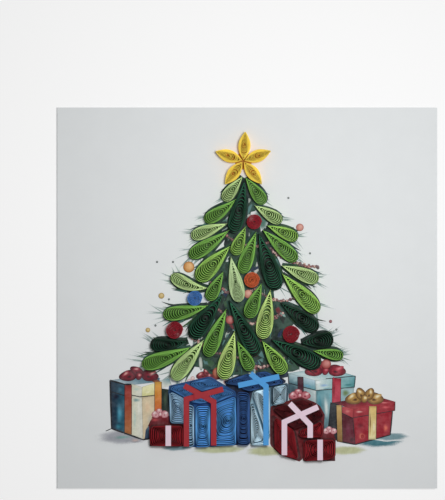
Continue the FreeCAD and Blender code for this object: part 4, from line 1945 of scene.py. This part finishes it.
    def red_box(self) -> None:
        """The red present with a gold ribbon, furthest right."""
        picture = self.picture
        wine, berry, rose, gold = palette((84, 20, 34), (158, 30, 46), (186, 70, 76), (204, 168, 92))
        picture.panels(
            (33.6, -41.2, 41.8, -43.9, 58.3, -40.8, 50.0, -38.4, wine, rose, berry, wine),
            (35.4, -56.2, 42.6, -57.6, 41.6, -45.8, 35.0, -42.4, wine, Tint(116, 36, 56), wine, wine),
            (42.6, -57.6, 56.4, -53.8, 57.4, -44.0, 41.6, -45.8, berry),
            (37.4, -45.2, 41.6, -47.2, 41.8, -43.6, 37.4, -42.6, Tint(150, 50, 60), rose, rose, rose),
            (41.6, -47.2, 58.2, -44.2, 58.3, -40.8, 41.8, -43.8, Tint(150, 28, 42), berry, berry, rose),
        )
        picture.glows(
            (39.8, -52.0, 1.4, 3.6, 120, 46, 70), (41.4, -55.8, 1.4, 1.4, 62, 18, 30),
            (45.2, -54.4, 1.7, 1.7, 232, 142, 104), (45.4, -54.5, 0.7, 0.8, 170, 60, 44),
            (44.6, -50.2, 1.8, 1.5, 120, 20, 36), (54.6, -51.2, 1.3, 2.0, 226, 116, 90),
            (54.4, -47.4, 1.7, 1.6, 172, 40, 54), (44.2, -44.8, 2.0, 0.6, 238, 190, 180),
            (54.6, -43.0, 2.2, 0.7, 212, 92, 96), (39.6, -44.6, 1.5, 0.8, 206, 116, 112),
            (54.0, -41.2, 2.4, 0.5, 226, 130, 128),
        )
        self.lines(0.5, (35.4, -56.3, 42.6, -57.7, 56.4, -53.9), (33.6, -41.2, 37.6, -42.9),
                   (35.0, -42.4, 35.4, -56.2), (56.4, -53.9, 57.3, -44.4))
        self.lines(0.28, (41.6, -47.2, 58.2, -44.3), (37.4, -45.3, 41.6, -47.3), (41.7, -47.2, 42.5, -57.4),
                   (58.2, -44.3, 58.3, -40.8))
        self.band((36.2, -42.2), (36.6, -56.6), 2.1, Tint(206, 172, 108), Tint(142, 108, 58))
        self.band((49.5, -42.6), (49.3, -55.7), 3.0, Tint(222, 188, 112), Tint(236, 224, 170))
        picture.glows((48.5, -49.0, 0.4, 5.4, 120, 84, 44), ground=Tint(226, 200, 134))
        picture.glows((50.0, -51.0, 0.7, 2.6, 246, 238, 200), ground=Tint(230, 206, 146))
        brass = gold.towards(Tint(150, 96, 40), 0.3)
        self.bow((46.2, -39.6), 14.4, 7.4, brass, Tint(252, 242, 208), Tint(74, 44, 22), 4)

    def small_tops(self) -> None:
        """What is printed above the small quilled presents."""
        red, deep, blush = Tint(132, 24, 38), Tint(92, 14, 26), Tint(226, 182, 184)
        white, rose = Tint(250, 234, 232), Tint(178, 84, 98)
        self.picture.panels((-39.0, -50.4, -24.6, -50.4, -26.4, -46.4, -37.2, -46.4, deep, deep, red, red))
        self.picture.glows((-36.2, -48.0, 1.9, 0.9, 186, 66, 70))
        self.picture.panels((21.8, -55.6, 34.9, -55.6, 34.0, -53.0, 29.8, -53.0, deep, deep, red, deep))
        self.bow((-34.2, -45.8), 6.4, 4.6, blush, white, rose, 3)
        self.bow((20.7, -38.4), 8.2, 5.2, Tint(214, 138, 146), white, red, 3)
        self.bow((32.6, -52.4), 5.2, 3.8, blush, white, rose, 3)
        self.bow((-15.0, -30.6), 9.6, 5.2, Tint(150, 50, 60), Tint(244, 196, 186), Tint(64, 14, 24), 4)
        for x, y in ((-22.8, -32.6), (-21.4, -31.6), (-8.6, -33.0)):
            self.picture.blot((x + 0.2, y + 0.2), disc((x, y), 0.8, 18), white, Tint(206, 150, 144))


@dataclass
class Studio:
    """Camera over the card, white table, and soft light from the upper right."""

    face: float
    aim: Point = (-9.65, 18.9)
    seen_height: float = 196.85 * MM
    lens: float = 120.0
    sensor: float = 36.0
    lamp_place: tuple[float, float, float] = (0.05, 0.06, 0.28)
    lamp_size: float = 0.08
    lamp_power: float = 0.57
    surround: float = 0.24
    table_half: float = 2.0
    table_level: float = -0.02 * MM

    def build(self) -> None:
        """Sets up the studio."""
        self.camera()
        self.table()
        self.lamp()
        self.world()
        bpy.context.scene.view_settings.view_transform = "Standard"
        LOG.info("studio: camera, table and lights")

    def camera(self) -> None:
        """The camera, straight over the card."""
        data = bpy.data.cameras.new("camera")
        data.lens = self.lens
        data.sensor_width = self.sensor
        camera = bpy.data.objects.new("camera", data)
        above = self.lens * self.seen_height / self.sensor
        camera.location = (self.aim[0] * MM, self.aim[1] * MM, self.face + above)
        bpy.context.scene.collection.objects.link(camera)
        bpy.context.scene.camera = camera

    def table(self) -> None:
        """The table under the card."""
        half = self.table_half
        places = ((-half, -half), (half, -half), (half, half), (-half, half))
        corners = [(x, y, self.table_level) for x, y in places]
        mesh = bpy.data.meshes.new("table")
        mesh.from_pydata(corners, [], [(0, 1, 2, 3)])
        mesh.materials.append(Backdrop("white_table").material())
        table = bpy.data.objects.new("table", mesh)
        bpy.context.scene.collection.objects.link(table)

    def lamp(self) -> None:
        """A square lamp that faces the card."""
        data = bpy.data.lights.new("key_light", "AREA")
        data.energy = self.lamp_power
        data.size = self.lamp_size
        lamp = bpy.data.objects.new("key_light", data)
        lamp.location = self.lamp_place
        aim = -np.array(self.lamp_place)
        fall = math.atan2(math.hypot(aim[0], aim[1]), -aim[2])
        lamp.rotation_euler = (fall, 0.0, math.atan2(aim[1], aim[0]) - math.pi / 2)
        bpy.context.scene.collection.objects.link(lamp)

    def world(self) -> None:
        """Even light from all round, which shows as white."""
        world = bpy.data.worlds.new("soft_surround")
        world.use_nodes = True
        inputs = world.node_tree.nodes["Background"].inputs
        inputs["Strength"].default_value = self.surround
        inputs["Color"].default_value = (1.0, 1.0, 1.0, 1.0)
        bpy.context.scene.world = world


def main() -> None:
    """Builds the card's looks, piece by piece."""
    logging.basicConfig(level=logging.INFO, format="%(message)s")
    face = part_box("card")[1].z
    shelf = PaperShelf(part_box("crown_bough_1")[1].z)
    fit("card", CardStock("card_stock_finish").material())
    LOG.info("card: stock")
    boughs = Boughs(shelf, face)
    coils = boughs.build()
    Star(shelf, face).build()
    Baubles(shelf, face).build()
    Presents(shelf, face).build()
    ink = Watercolour("watercolour_ink").material()
    picture = Print(face)
    # painted shade: each bough's wall tint darkened, for the field printed under it
    beds = [paper.value[1].towards(Tint(10, 24, 12), 0.62) for paper in boughs.papers()]
    foliage = PrintedFoliage(picture, coils, beds)
    foliage.mist(ink)
    PrintedPresents(picture).build(ink)
    foliage.build(ink)
    Studio(face).build()


if __name__ == "__main__":
    main()
